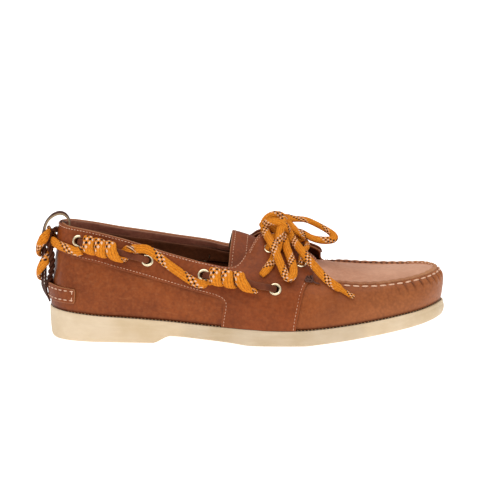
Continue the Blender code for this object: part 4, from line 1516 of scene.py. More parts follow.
@dataclass
class Outsole:
    """One-piece moulded sole: a stitched ledge, a plain side wall with a lip, and a siped underside."""

    last: Last
    looks: Finishes
    steps: int = 20
    columns: int = 60
    # Loops of the side: share of its height from the top, inset, and a mark that paints shade, darkest on the ledge
    # along the joint with the upper.
    wall_rows: tuple = (
        (0, 5.4, 1), (0, 2.6, 1), (0, 1.4, 1), (0, 0.95, 0.9), (0, 0.5, 0), (0.02, 0.2, 0), (0.06, 0.02, 0),
        (0.13, 0, 0), (0.21, 0.05, 0), (0.235, 0.16, 0), (0.26, 0.08, 0), (0.4, 0.16, 0), (0.55, 0.42, 0),
        (0.7, 0.75, 0), (0.84, 1.1, 0), (0.93, 1.6, 0.1), (0.98, 2.5, 0.2), (1, 4.2, 0.2),
    )
    bumper: float = 1.7
    waist_tone: float = 0.33
    sipe_pitch: float = 5.6
    sipe_width: float = 1.3
    sipe_depth: float = 0.8
    stitch_inset: float = 1.45

    def walls(self, u: Array) -> tuple[list[Array], list[Array]]:
        """The loops of the side, from the ledge down to the underside.

        Args:
            u: row numbers.

        Returns:
            The loops, and a mark of painted shade for each of their points.
        """
        loops, marks = [], []
        for share, inset, mark in self.wall_rows:
            # The toe bumper stands out most a little below the middle of the side.
            lip = self.bumper * bump_at(share, 0.62, 0.42) * bump_at(u, TOE_ROW, 1.1)
            xy = self.last.outline(u, inset - (lip if share > 0.01 else 0.0))
            top, low = self.last.sole_height(xy[:, 0], 1), self.last.sole_height(xy[:, 0], 2)
            loops.append(np.column_stack([xy, top + share * (low - top)]))
            # The waist clears the floor; painted shade darkens it.
            waist = step_at(xy[:, 0], -75.0, -35.0) - step_at(xy[:, 0], 80.0, 108.0)
            marks.append(np.maximum(mark, self.waist_tone * waist))
        return loops, marks

    def closing(self, line: Array, base: int, count: int, tread: bool) -> tuple[list, list, list]:
        """Rows of points across a loop, and the faces between them.

        Args:
            line: the loop's points.
            base: the number of its first vertex.
            count: the number of the next new vertex.
            tread: whether it closes the underside, with its sipes, and not the top.

        Returns:
            The new points, their marks, and the faces.
        """
        share = np.linspace(0, 1, (self.columns if tread else 2) + 1)[:, None]
        points, marks, faces, rows = [], [], [], []
        for i in range(len(line) // 2 + 1):
            back = (len(line) - i) % len(line)
            if back == i:
                rows.append([base + i] * len(share))
                continue
            row, mark = line[i] * (1 - share) + line[back] * share, np.zeros(len(share))
            if tread:
                row, mark = self.tread(row)
            rows.append([base + i, *range(count, count + len(row) - 2), base + back])
            points.append(row[1:-1])
            marks.append(mark[1:-1])
            count += len(row) - 2
        for here, then in zip(rows[:-1], rows[1:], strict=True):
            for j in range(len(share) - 1):
                quad = list(dict.fromkeys([here[j], then[j], then[j + 1], here[j + 1]]))
                if len(quad) > 2:
                    faces.append(tuple(quad if tread else quad[::-1]))
        return points, marks, faces

    def build(self, sewing: "Sewing") -> None:
        """Builds the sole and the row of stitches on its ledge.

        Args:
            sewing: the sewing.
        """
        n = ROWS * self.steps
        loops, marks = self.walls(np.arange(n) / self.steps)
        points, edge, faces = [*loops], [*marks], grid_faces(len(loops), n, cols_close=True)
        for row, tread in ((0, False), (len(loops) - 1, True)):
            parts = self.closing(loops[row], row * n, sum(map(len, points)), tread)
            points, edge, faces = points + parts[0], edge + parts[1], faces + parts[2]
        made = mesh_object(
            "outsole_body", np.concatenate(points), faces, [self.looks.rubber], edge=np.concatenate(edge)
        )
        keep(made, "gum_rubber", "outsole")
        xy = self.last.outline(np.linspace(0, ROWS, 1200), self.stitch_inset)
        line = np.column_stack([xy, self.last.sole_height(xy[:, 0], 1) + 0.4])
        ups = np.tile(UP, (len(line), 1))
        made = sewing.row(
            "sole_stitches", [line], [ups], self.looks.welt_thread, pitch=2.7, length=1.3, width=0.85
        )
        keep(made, "gum_rubber")

    def tread(self, row: Array) -> tuple[Array, Array]:
        """Cuts the wavy sipes into one row of the underside.

        Args:
            row: the row's points, from side to side.

        Returns:
            The row, and a mark for how deep each point lies, which paints shade into the sipes.
        """
        x, y = row[:, 0], row[:, 1]
        rim = np.minimum(np.linalg.norm(row - row[0], axis=1), np.linalg.norm(row - row[-1], axis=1))
        wave = x + 1.5 * np.sin(y * 2 * math.pi / 7.5)
        off = np.abs((wave / self.sipe_pitch) % 1 - 0.5) * self.sipe_pitch
        cut = (1 - step_at(off, self.sipe_width * 0.3, self.sipe_width * 0.8)) * step_at(rim, 1.5, 3.5)
        row = row.copy()
        row[:, 2] = self.last.sole_height(x, 2) + cut * self.sipe_depth
        return row, cut * 0.7


@dataclass
class Upper:
    """Vamp and rear quarters of one supple hide, sewn round a last, and the insole inside them."""

    last: Last
    looks: Finishes
    thickness: float = 2.0
    bore: float = 3.5
    levels: int = 36
    lining_levels: int = 14
    round_off: float = 0.55
    # Rows from, to, and the points between: twice as dense where the stitches pull the hide in.
    spans: tuple = ((0, 12, 120), (12, 22, 240), (22, 34, 120))
    # The footbed's middle line: x, y.
    spine: tuple = ((-149, 0), (0, -3), (60, -1.5), (149, 5))
    collar_row: float = 7.75
    spacing: float = 1.4
    pleat_depth: float = 2.0
    toe_swell: float = 0.9
    # Soft folds: row, width in rows, share of the height, spread in height, lift.
    folds: tuple = (
        (12.75, 0.16, 0.62, 0.3, -0.75), (13.15, 0.2, 0.5, 0.32, 0.4), (13.6, 0.18, 0.6, 0.25, -0.4),
        (3.2, 0.35, 0.45, 0.25, -0.5), (4.4, 0.3, 0.4, 0.3, 0.45), (5.6, 0.22, 0.35, 0.3, -0.5),
        (1.2, 0.3, 0.3, 0.25, 0.35), (6.6, 0.2, 0.3, 0.3, 0.3),
    )

    def pleats(self, u: Array, v: Array) -> Array:
        """How deep each place lies in a pleat; one slants down from each gap of the hand stitches at the toe.

        Args:
            u: row numbers.
            v: shares of the height.

        Returns:
            0 on the open hide, 1 in the middle of a pleat.
        """
        drop = (1 - v) * self.last.height(u)
        where = from_heel(u)
        at = self.last.stitch_number(u) - 0.5 - np.where(u > TOE_ROW, -0.06, 0.06) * (drop - 2.0)
        off = np.abs(at - np.round(at)) * 2
        # Each pleat has its own depth and length.
        deep = np.sin(np.round(at) * 12.9898)
        reach = 11.5 + 3.0 * deep
        across = 1 - step_at(off, 0.05, 0.5)
        down = step_at(drop, 1.2, 2.4) * (1 - step_at(drop, reach * 0.55, reach * 1.3))
        return (0.88 + 0.12 * deep) * (across * down) * step_at(where, 14.1, 15.6)

    def creases(self, u: Array, v: Array) -> Array:
        """Lift of the surface: the pleats, and soft folds where the hide bends.

        Args:
            u: row numbers.
            v: shares of the height.

        Returns:
            Millimetres, outwards.
        """
        drop = (1 - v) * self.last.height(u)
        where = from_heel(u)
        swell = 0.28 * np.sin(2.1 * u + 3 * v) * np.sin(1.3 * u - 5 * v + 0.7)
        swell = swell + 0.18 * np.sin(5.3 * u + 7 * v)
        fade = step_at(v, 0.05, 0.3) * step_at(drop, 1.0, 4.0)
        puff = bump_at(drop, 5.5, 3.4) * 0.75 * step_at(where, 12.6, 14.5)
        toe = self.toe_swell * bump_at(where, TOE_ROW, 1.2) * bump_at(v, 0.42, 0.3)
        lift = swell * fade - self.pleat_depth * self.pleats(u, v) + puff + toe
        for row, width, share, spread, size in self.folds:
            lift = lift + size * bump_at(where + 0.25 * (v - share), row, width) * bump_at(v, share, spread)
        return lift

    def build(self) -> None:
        """Builds the hide with its eyelet holes, and the insole."""
        u = np.concatenate([np.linspace(*span, False) for span in self.spans])
        n = len(u)
        loops, edge = [], []
        shares = np.linspace(0, 1, self.levels) ** 0.92
        for share in shares:
            v = np.full(n, share)
            loops.append(self.last.wall(u, v, self.creases(u, v) - self.round_off * step_at(share, 0.97, 1.0)))
            # The marks paint shade into the pleats and along the foot of the hide at the sole; the rolled top edge is
            # marked pale, a cut edge partly painted as a highlight.
            foot = 1 - step_at(share * self.last.height(u), -1.6, 4.4)
            edge.append(-np.maximum(0.85 * self.pleats(u, v), foot) if share < 1 else np.ones(n))
        v = np.ones(n)
        normal, top = self.last.normal(u, v), self.last.wall(u, v)
        rise = unit(top - self.last.wall(u, v - 0.02))
        for inward, up in ((1.0, 0.18), (self.thickness - self.round_off, 0.0)):
            loops.append(top - normal * inward + rise * up)
            edge.append(np.ones(n))
        outer = len(loops)
        for share in np.linspace(0.985, 0, self.lining_levels):
            loops.append(self.last.wall(u, np.full(n, share), -self.thickness))
            edge.append(np.zeros(n))
        faces = [(a, d, c, b) for a, b, c, d in grid_faces(len(loops), n, True, True)]
        made = mesh_object(
            "upper_hide", np.concatenate(loops), faces, [self.looks.body, self.looks.lining],
            np.arange(len(faces)) >= outer * n, np.concatenate(edge),
        )
        self.pierce(made)
        keep(made, "oiled_leather", "upper")
        for side in Side:
            self.line_collar(side)
        self.insole()

    def line_collar(self, side: Side) -> None:
        """Lines the collar of one side: a facing along the edge, and a dark lining over the eyelets' backs.

        Args:
            side: the side of the foot.
        """
        for name, top, low, thick, look in (
            ("collar_lining", 6.4, 19.0, 1.4, self.looks.lining), ("collar_facing", 0.5, 7.2, 1.1, self.looks.collar),
        ):
            start, end = side.row(0.0), side.row(self.collar_row)
            upper = self.last.level(start, end, top, self.spacing)
            lower = self.last.level(end, start, low, self.spacing)
            taper = np.linspace(0, 1, len(lower))[::-1]
            lower[:, 1] += (1 - step_at(1 - taper, 0.0, 0.35)) * (low - top) * 0.35
            count = max(3, round((low - top) / self.spacing))
            joins = [np.linspace(*ends, count)[1:-1] for ends in ((upper[-1], lower[0]), (lower[-1], upper[0]))]
            panel = Panel(self.last, np.vstack([upper, joins[0], lower, joins[1]]), spacing=2.6)
            keep(panel.build(f"{name}_{side.word}", -self.thickness - thick, thick, look, 0.3), "insole_leather")

    def pierce(self, made: Object) -> None:
        """Punches the eyelet holes.

        Args:
            made: the hide.
        """
        bm = bmesh.new()
        for side, spots in EYELETS.items():
            for x, z in spots:
                spot, normal = self.last.seat(x, z, side)
                turn = Vector(normal).to_track_quat("Z", "Y").to_matrix().to_4x4()
                turn.translation = Vector(placed(spot))
                bmesh.ops.create_cone(
                    bm, cap_ends=True, segments=24, radius1=self.bore * MM, radius2=self.bore * MM, depth=12 * MM,
                    matrix=turn,
                )
        mesh = bpy.data.meshes.new("punch")
        bm.to_mesh(mesh)
        bm.free()
        punch = in_scene("punch", mesh)
        cut = made.modifiers.new("eyelet holes", "BOOLEAN")
        cut.operation, cut.solver, cut.object = "DIFFERENCE", "EXACT", punch
        result = bpy.data.meshes.new_from_object(made.evaluated_get(bpy.context.evaluated_depsgraph_get()))
        made.modifiers.clear()
        made.data = result
        bpy.data.objects.remove(punch)

    def insole(self) -> None:
        """Builds the footbed: a smooth sock with a soft rim, dished a little at the heel and the ball."""
        n, rings = ROWS * 8, 9
        u = np.arange(n) / 8
        loops = []
        for lift, extra in ((0.3, 0.0), (2.6, 0.0), (3.4, 0.4)):
            xy = self.last.outline(u, self.thickness + 0.7 + extra, on_ledge=True)
            loops.append(np.column_stack([xy, self.last.sole_height(xy[:, 0], 1) + lift]))
        rim = loops[-1]
        spine = np.column_stack([rim[:, 0], np.interp(rim[:, 0], *np.transpose(self.spine)), rim[:, 2]])
        for k in range(1, rings):
            t = k / (rings - 1)
            ring = rim * (1 - t) + spine * t
            ring[:, 2] -= 0.5 * t * (bump_at(ring[:, 0], -110, 30) + bump_at(ring[:, 0], 40, 35))
            loops.append(ring)
        base = loops[0] * [0.0, 0.0, 1.0] + spine * [1.0, 1.0, 0.0]
        loops = [base, *loops]
        faces = grid_faces(len(loops), n, cols_close=True)
        points = np.concatenate(loops)
        made = mesh_object("footbed", points, faces, [self.looks.footbed], edge=np.zeros(len(points)), closed=False)
        bm = bmesh.new()
        bm.from_mesh(made.data)
        bmesh.ops.remove_doubles(bm, verts=bm.verts, dist=1e-6)
        bmesh.ops.dissolve_degenerate(bm, edges=bm.edges, dist=1e-6)
        bmesh.ops.recalc_face_normals(bm, faces=bm.faces)
        bm.to_mesh(made.data)
        bm.free()
        keep(made, "insole_leather", "insole")


@dataclass
class Saddle:
    """Collar band and saddle of each side: one overlay from the heel to the vamp, sewn down round its edge."""

    last: Last
    looks: Finishes
    thickness: float = 1.25
    spacing: float = 1.1
    margin: float = 1.8
    front_margin: float = 2.3
    hole: float = 3.3
    # Height of the lower seam behind the heel.
    heel_seam: float = 70.2
    # Rows between which the throat is sewn, and how far below the edge the front seam ends, for each side.
    throat_rows: tuple = ((8.05, 11.6), (8.4, 10.5))
    front_stop: tuple = (2.2, 8.0)
    collar_row: float = 7.7
    lower_seam: tuple = (
        (-137.6, 68.5), (-126.2, 65.1), (-111.4, 62.4), (-98.9, 58.9), (-87.5, 56), (-74.2, 52.5), (-64.1, 49.6),
        (-53.4, 46.8), (-42.8, 44), (-33, 41.6), (-25.4, 39.9), (-21, 38.5), (-17.8, 36.9), (-15.7, 34.7),
        (-15, 31.6), (-15.5, 27.3), (-16.7, 19.5), (-17.1, 16.2),
    )
    front_seam: tuple = (
        (46.6, 49.6), (42.8, 46), (40.6, 41.1), (39.4, 36.9), (37.5, 28), (35.9, 19.5), (35.2, 14.2),
    )
    medial_rise: float = 2.6
    medial_reach: float = 5.0
    # Soft folds: row, width in rows, share of the height, spread in height, lift.
    folds: tuple = (
        (9.4, 0.35, 0.35, 0.3, -0.45), (10.6, 0.3, 0.3, 0.25, 0.35), (8.2, 0.25, 0.5, 0.25, 0.3),
        (11.2, 0.2, 0.5, 0.2, -0.3), (4.5, 0.5, 0.85, 0.1, 0.3),
    )

    def spots(self, table: tuple, side: Side) -> list[tuple[float, float]]:
        """A seam's places on one side; the inner side's wall is a little taller.

        Args:
            table: the places on the outer side, x and height.
            side: the side of the foot.

        Returns:
            The places.
        """
        if side is Side.LATERAL:
            return list(table)
        return [
            (x + self.medial_reach * step_at(z, 41, 50) * (x > 0), z + self.medial_rise * step_at(z, 20, 45))
            for x, z in table
        ]

    def seams(self, side: Side) -> tuple[Array, Array]:
        """The seams of one side.

        Args:
            side: the side of the foot.

        Returns:
            The lower and the front line of stitches on the chart.
        """
        lower = self.last.chart(*self.last.find(self.spots(self.lower_seam, side), side))
        total = self.last.run[-1]
        z = np.linspace(0.3, 1.0, 200)
        heel = self.last.wall(np.zeros(200), z)[:, 2]
        # The seam's first place, in the middle of the heel.
        rise = np.interp(self.heel_seam, heel, z) * self.last.height(np.zeros(1))[0]
        first = np.array([0.0 if side is Side.LATERAL else total, rise])
        front = self.last.line(self.spots(self.front_seam, side), side, self.spacing)
        return curve(np.vstack([first, lower]), self.spacing), front

    def below_edge(self, line: Array, drop: float) -> Array:
        """The points of a line on the chart that lie more than drop below the top edge."""
        return line[line[:, 1] < self.last.height(self.last.rows_of(line)[0]) - drop]

    def edge_of(self, side: Side) -> Array:
        """The outline of one side's overlay on the chart.

        Args:
            side: the side of the foot.

        Returns:
            Its points.
        """
        margins = (side.value * self.margin, -side.value * self.front_margin)
        low, front = (beside(seam, margin) for seam, margin in zip(self.seams(side), margins, strict=True))
        low, front = (seam[seam[:, 1] > 0.4] for seam in (low, front))
        foot_gap = abs(low[-1, 0] - front[-1, 0])
        foot = np.linspace([low[-1, 0], 0.2], [front[-1, 0], 0.2], max(3, round(foot_gap / self.spacing)))
        row = np.interp(front[0, 0], self.last.run, self.last.marks)
        top = self.last.level(row, side.row(0.0), 0.55, self.spacing)
        front = self.below_edge(front, 1.0)
        low[0, 0] = top[-1, 0]
        return np.vstack([low, foot, front[::-1], top])

    def ring(self, x: float, z: float, side: Side, radius: float, count: int = 20) -> Array:
        """A line of the chart that is a circle on the surface.

        Args:
            x: its middle's distance along the foot.
            z: its middle's height.
            side: the side of the foot.
            radius: its radius.
            count: the number of its points.

        Returns:
            Its points.
        """
        u, v = self.last.find([(x, z)], side)
        middle = self.last.chart(u, v)[0]
        here = self.last.wall(u, v)[0]
        # How the surface runs with each axis of the chart.
        steps = [self.last.wall(*self.last.rows_of((middle + step)[None]))[0] for step in ((0.5, 0.0), (0.0, 0.5))]
        slopes = (np.array(steps) - here).T / 0.5
        first = unit(slopes[:, 0])
        second = unit(np.cross(np.cross(slopes[:, 0], slopes[:, 1]), first))
        turn = 2 * math.pi * np.arange(count)[:, None] / count
        rim = radius * (np.cos(turn) * first + np.sin(turn) * second)
        return middle + rim @ np.linalg.pinv(slopes).T

    def creases(self, u: Array, v: Array) -> Array:
        """Lift of the overlay off the hide, with its soft folds.

        Args:
            u: row numbers.
            v: shares of the height.

        Returns:
            Millimetres, outwards.
        """
        where = from_heel(u)
        lift = 0.22 * np.sin(2.7 * u + 4 * v) * np.sin(1.9 * u - 3 * v)
        for row, width, share, spread, size in self.folds:
            lift = lift + size * bump_at(where, row, width) * bump_at(v, share, spread)
        return 0.35 + np.maximum(lift, -0.3) * step_at((1 - v) * self.last.height(u), 1, 5)

    def build(self, sewing: Sewing, side: Side) -> None:
        """Builds the overlay of one side and its stitches.

        Args:
            sewing: the sewing.
            side: the side of the foot.
        """
        holes = [self.ring(x, z, side, self.hole) for x, z in EYELETS[side]]
        panel = Panel(self.last, self.edge_of(side), holes)
        made = panel.build(f"saddle_{side.word}", 0.0, self.thickness, self.looks.saddle, 0.4, self.creases)
        keep(made, "oiled_leather")
        low, front = self.seams(side)
        seams = [low, self.below_edge(front, self.front_stop[side.index])]
        ends = [side.row(row) for row in self.throat_rows[side.index]]
        throat = [self.last.level(*ends, drop) for drop in (2.0, 4.2)]
        collar = self.last.level(side.row(0.0), side.row(self.collar_row), 1.7)
        for seam, rows, thread in (
            ("saddle", seams, self.looks.thread), ("throat", throat, self.looks.thread),
            ("collar", [collar], self.looks.hand_thread),
        ):
            places = [self.last.rows_of(flat) for flat in rows]
            lines = [self.last.wall(*place, self.thickness + 0.42) for place in places]
            outs = [self.last.normal(*place) for place in places]
            made = sewing.row(f"{seam}_stitches_{side.word}", lines, outs, thread, *STITCH)
            keep(made, "oiled_leather")


@dataclass
class ToePlug:
    """The plug over the toes, its rolled seam with the vamp, and the hand stitches through it."""

    last: Last
    looks: Finishes
    thickness: float = 1.8
    gap: float = 2.7
    ridge: float = 1.4
    ridge_width: float = 3.5
    start_row: float = 12.0
    end_row: float = 16.75
    knot_at: tuple = (46.6, 49.6)
    columns: int = 49
    stitch_drop: float = 2.2
    # Two rows of the tail behind the seam: x, then y and z of each end.
    tail: tuple = ((46, -27, 49.4, 26, 50.4), (52, -31, 49.2, 29, 50.8))
    # Height of the plug's middle line: x, z.
    crest: tuple = ((40, 60.6), (46, 58.6), (58, 55.4), (73, 52.6), (96, 50.8), (150, 52))

    def edge(self, u: Array) -> tuple[Array, Array]:
        """The plug's edge, inside the vamp's top edge.

        Args:
            u: row numbers.

        Returns:
            Its points, and the level directions into the plug.
        """
        ones = np.ones(len(u))
        along = self.last.wall(u + 0.03, ones) - self.last.wall(u - 0.03, ones)
        inward = unit(np.stack([-along[:, 1], along[:, 0], np.zeros(len(u))], axis=1))
        return self.last.wall(u, ones) + inward * self.gap, inward

    def grid(self) -> Array:
        """Points of the plug's face, in rows across it from the tail to the toe.

        Returns:
            The rows.
        """
        u = np.linspace(self.start_row, self.end_row, 90)
        t = np.linspace(0, 1, 8, endpoint=False)[:, None]
        sides = []
        for k, seat in ((1, self.edge(u)[0]), (3, self.edge(ROWS - u)[0])):
            rear, front = (np.array(row)[[0, k, k + 1]] for row in self.tail)
            sides.append(np.vstack([rear * (1 - t) + front * t, front * (1 - t) + seat[0] * t, seat]))
        seam = self.edge(np.linspace(self.start_row, ROWS - self.start_row, 400))[0]
        across = 0.5 - 0.5 * np.cos(np.linspace(0, math.pi, self.columns))
        rows = []
        for p, q in zip(*sides, strict=True):
            row = p * (1 - across[:, None]) + q * across[:, None]
            middle = (p + q) / 2
            top = np.interp(middle[0], *np.transpose(self.crest))
            near = np.sqrt(((seam[None, :, :2] - row[:, None, :2]) ** 2).sum(2)).min(1)
            roll = self.ridge * (1 - np.minimum(near / self.ridge_width, 1)) ** 2
            rise = (top + self.ridge - middle[2]) * 4 * across * (1 - across)
            x, y = row[:, 0], row[:, 1]
            soft = 0.3 * np.sin(x / 9.0 + 0.8) * np.sin(y / 8.0) + 0.2 * np.sin(x / 5.1 + y / 6.3)
            row[:, 2] += rise + roll - self.ridge + soft * step_at(near, 2, 9)
            rows.append(row)
        rows.append(self.edge(np.linspace(self.end_row, ROWS - self.end_row, self.columns))[0])
        return np.array(rows)

    def build(self, sewing: Sewing) -> None:
        """Builds the plug, the seam's roll and the stitches.

        Args:
            sewing: the sewing.
        """
        made = sheet("toe_plug", self.grid(), self.thickness, [self.looks.plug], 0.4)
        keep(made, "oiled_leather", "apron")
        u = np.linspace(self.start_row - 0.2, ROWS - self.start_row - 0.25, 420)
        seat, inward = self.edge(u)
        wave = np.sin(u / 0.155 * math.pi)
        path = seat - inward * (self.gap - 1.35) + UP * (0.15 + 0.12 * wave)[:, None]
        near = np.minimum(np.arange(len(u)), np.arange(len(u))[::-1])
        taper = 0.25 + 0.75 * step_at(near, 0, 34)
        roll = sweep(
            "seam_roll", path, 3.5 * taper * (1 + 0.05 * wave), 2.5 * taper * (1 + 0.06 * wave), self.looks.ridge,
            UP - inward * 0.2, around=16, square=2.4,
        )
        keep(roll, "oiled_leather")
        self.hand_stitches(sewing)
        for side in Side:
            self.knot(side)

    def knot(self, side: Side) -> None:
        """Builds the knotted thread at one end of the seam: three coils, and the thread to the stitches.

        Args:
            side: the side of the foot.
        """
        turn = np.linspace(0, 2 * math.pi, 60)
        strands = [
            np.column_stack(
                [
                    self.knot_at[0] + 2.7 * np.cos(turn + 0.6 * k) * (1 + 0.2 * np.sin(3 * turn + k)) + 0.5 * k,
                    self.knot_at[1] - 0.45 * k + (1.6 + 0.4 * np.sin(2.0 * k)) * np.sin(
                        turn * (1.5 + 0.25 * k) + 1.9 * k
                    ),
                    2.3 + 0.8 * np.cos(turn * (2 + k) + k),
                ]
            )
            for k in range(3)
        ]
        strands.append(curve([(45.0, 47.8, 2.1), (48.0, 48.9, 2.8), (51.5, 47.2, 1.6), (55.0, 46.6, 0.8)], 0.5))
        for k, strand in enumerate(strands):
            path = curve([self.last.seat(x, z, side, lift)[0] for x, z, lift in strand], 0.5)
            name = f"seam_knot_{side.word}_{k + 1}"
            keep(sweep(name, relaxed(path, 3), 1.3, 1.15, self.looks.knot, around=10), "oiled_leather")

    def hand_stitches(self, sewing: Sewing) -> None:
        """Long running stitches on the vamp, and short ones over the roll on the plug.

        Args:
            sewing: the sewing.
        """
        flat = self.last.level(SEAM_START, ROWS - SEAM_START, self.stitch_drop)
        u, v = self.last.rows_of(flat)
        line = self.last.wall(u, v, 0.5)
        pitch = run_of(line)[-1] / (VAMP_STITCHES + 0.01)
        log.info("vamp stitches every %.1f mm", pitch)
        made = sewing.row(
            "vamp_stitches", [line], [self.last.normal(u, v)], self.looks.hand_thread,
            pitch=pitch, length=pitch * 0.8, width=1.35, sway=0.05,
        )
        keep(made, "oiled_leather")
        for name, start, end, thread in (
            ("lateral", SEAM_START, 15.3, self.looks.knot), ("toe", 15.3, ROWS - 15.3, self.looks.hand_thread),
            ("medial", ROWS - 15.3, ROWS - 12.6, self.looks.knot),
        ):
            u = np.linspace(start, end, 260)
            seat, inward = self.edge(u)
            line = seat + inward * 0.35 + UP * 0.5
            made = sewing.row(
                f"plug_stitches_{name}", [line], [unit(UP + inward * 0.9)], thread,
                pitch=4.05, length=2.5, width=0.95, sway=0.12,
            )
            keep(made, "oiled_leather")


@dataclass
class Tongue:
    """The tongue, between the eyestays and under the plug's tail."""

    looks: Finishes
    thickness: float = 2.2
    bow: float = -3.2
    tuck: float = 5.0
    # Its middle line: x, height, half width, and how far the sides lie below it.
    rows: tuple = (
        (53, 53.9, 20, 4.6), (46.5, 55.8, 22, 7.2), (41, 58.4, 24, 8.2), (34, 62.4, 26, 9.4),
        (20, 68.8, 28, 11.8), (8, 74.4, 28.8, 14.6), (-3, 78.2, 29, 16.8), (-10.5, 80.4, 29, 17.6),
    )

    def at(self, t: Array, s: Array, lift: float = 0.0) -> Array:
        """Points of the tongue's face.

        Args:
            t: distances from its top edge.
            s: shares of its half width, from the outer side to the inner.
            lift: how far over the face the points lie.

        Returns:
            The points.
        """
        table = curve([(x, 0.0, z, half, fall) for x, z, half, fall in self.rows[::-1]], 0.5)
        run = run_of(table[:, :3])
        x, z, half, fall = (np.interp(t, run, table[:, k]) for k in (0, 2, 3, 4))
        soft = 0.35 * np.sin(t / 6.0 + 2.2 * s) * (1 - s**2)
        rear = 1 - step_at(t, 0, 30)
        tuck = self.tuck * step_at(-s, 0.7, 1.0) * (1 - step_at(t, 4, 26))
        return np.column_stack([x + self.bow * s**2 * rear, s * half, z - fall * s**2 - tuck + soft + lift])

    def build(self, sewing: Sewing) -> None:
        """Builds the tongue and its two rows of stitches.

        Args:
            sewing: the sewing.
        """
        t, s = np.linspace(0, 68, 60), np.linspace(-1, 1, 41)
        grid = np.array([self.at(np.full(41, a), s) for a in t])
        made = sheet("tongue_body", grid, self.thickness, [self.looks.tongue, self.looks.flesh], 0.45)
        keep(made, "oiled_leather", "tongue")
        s = np.linspace(-0.97, 0.97, 90)
        lines = [self.at(np.full(90, d), s, 0.12) for d in (2.4, 12.0)]
        out = np.tile(UP, (90, 1))
        keep(sewing.row("tongue_stitches", lines, [out, out], self.looks.thread, *STITCH), "oiled_leather")


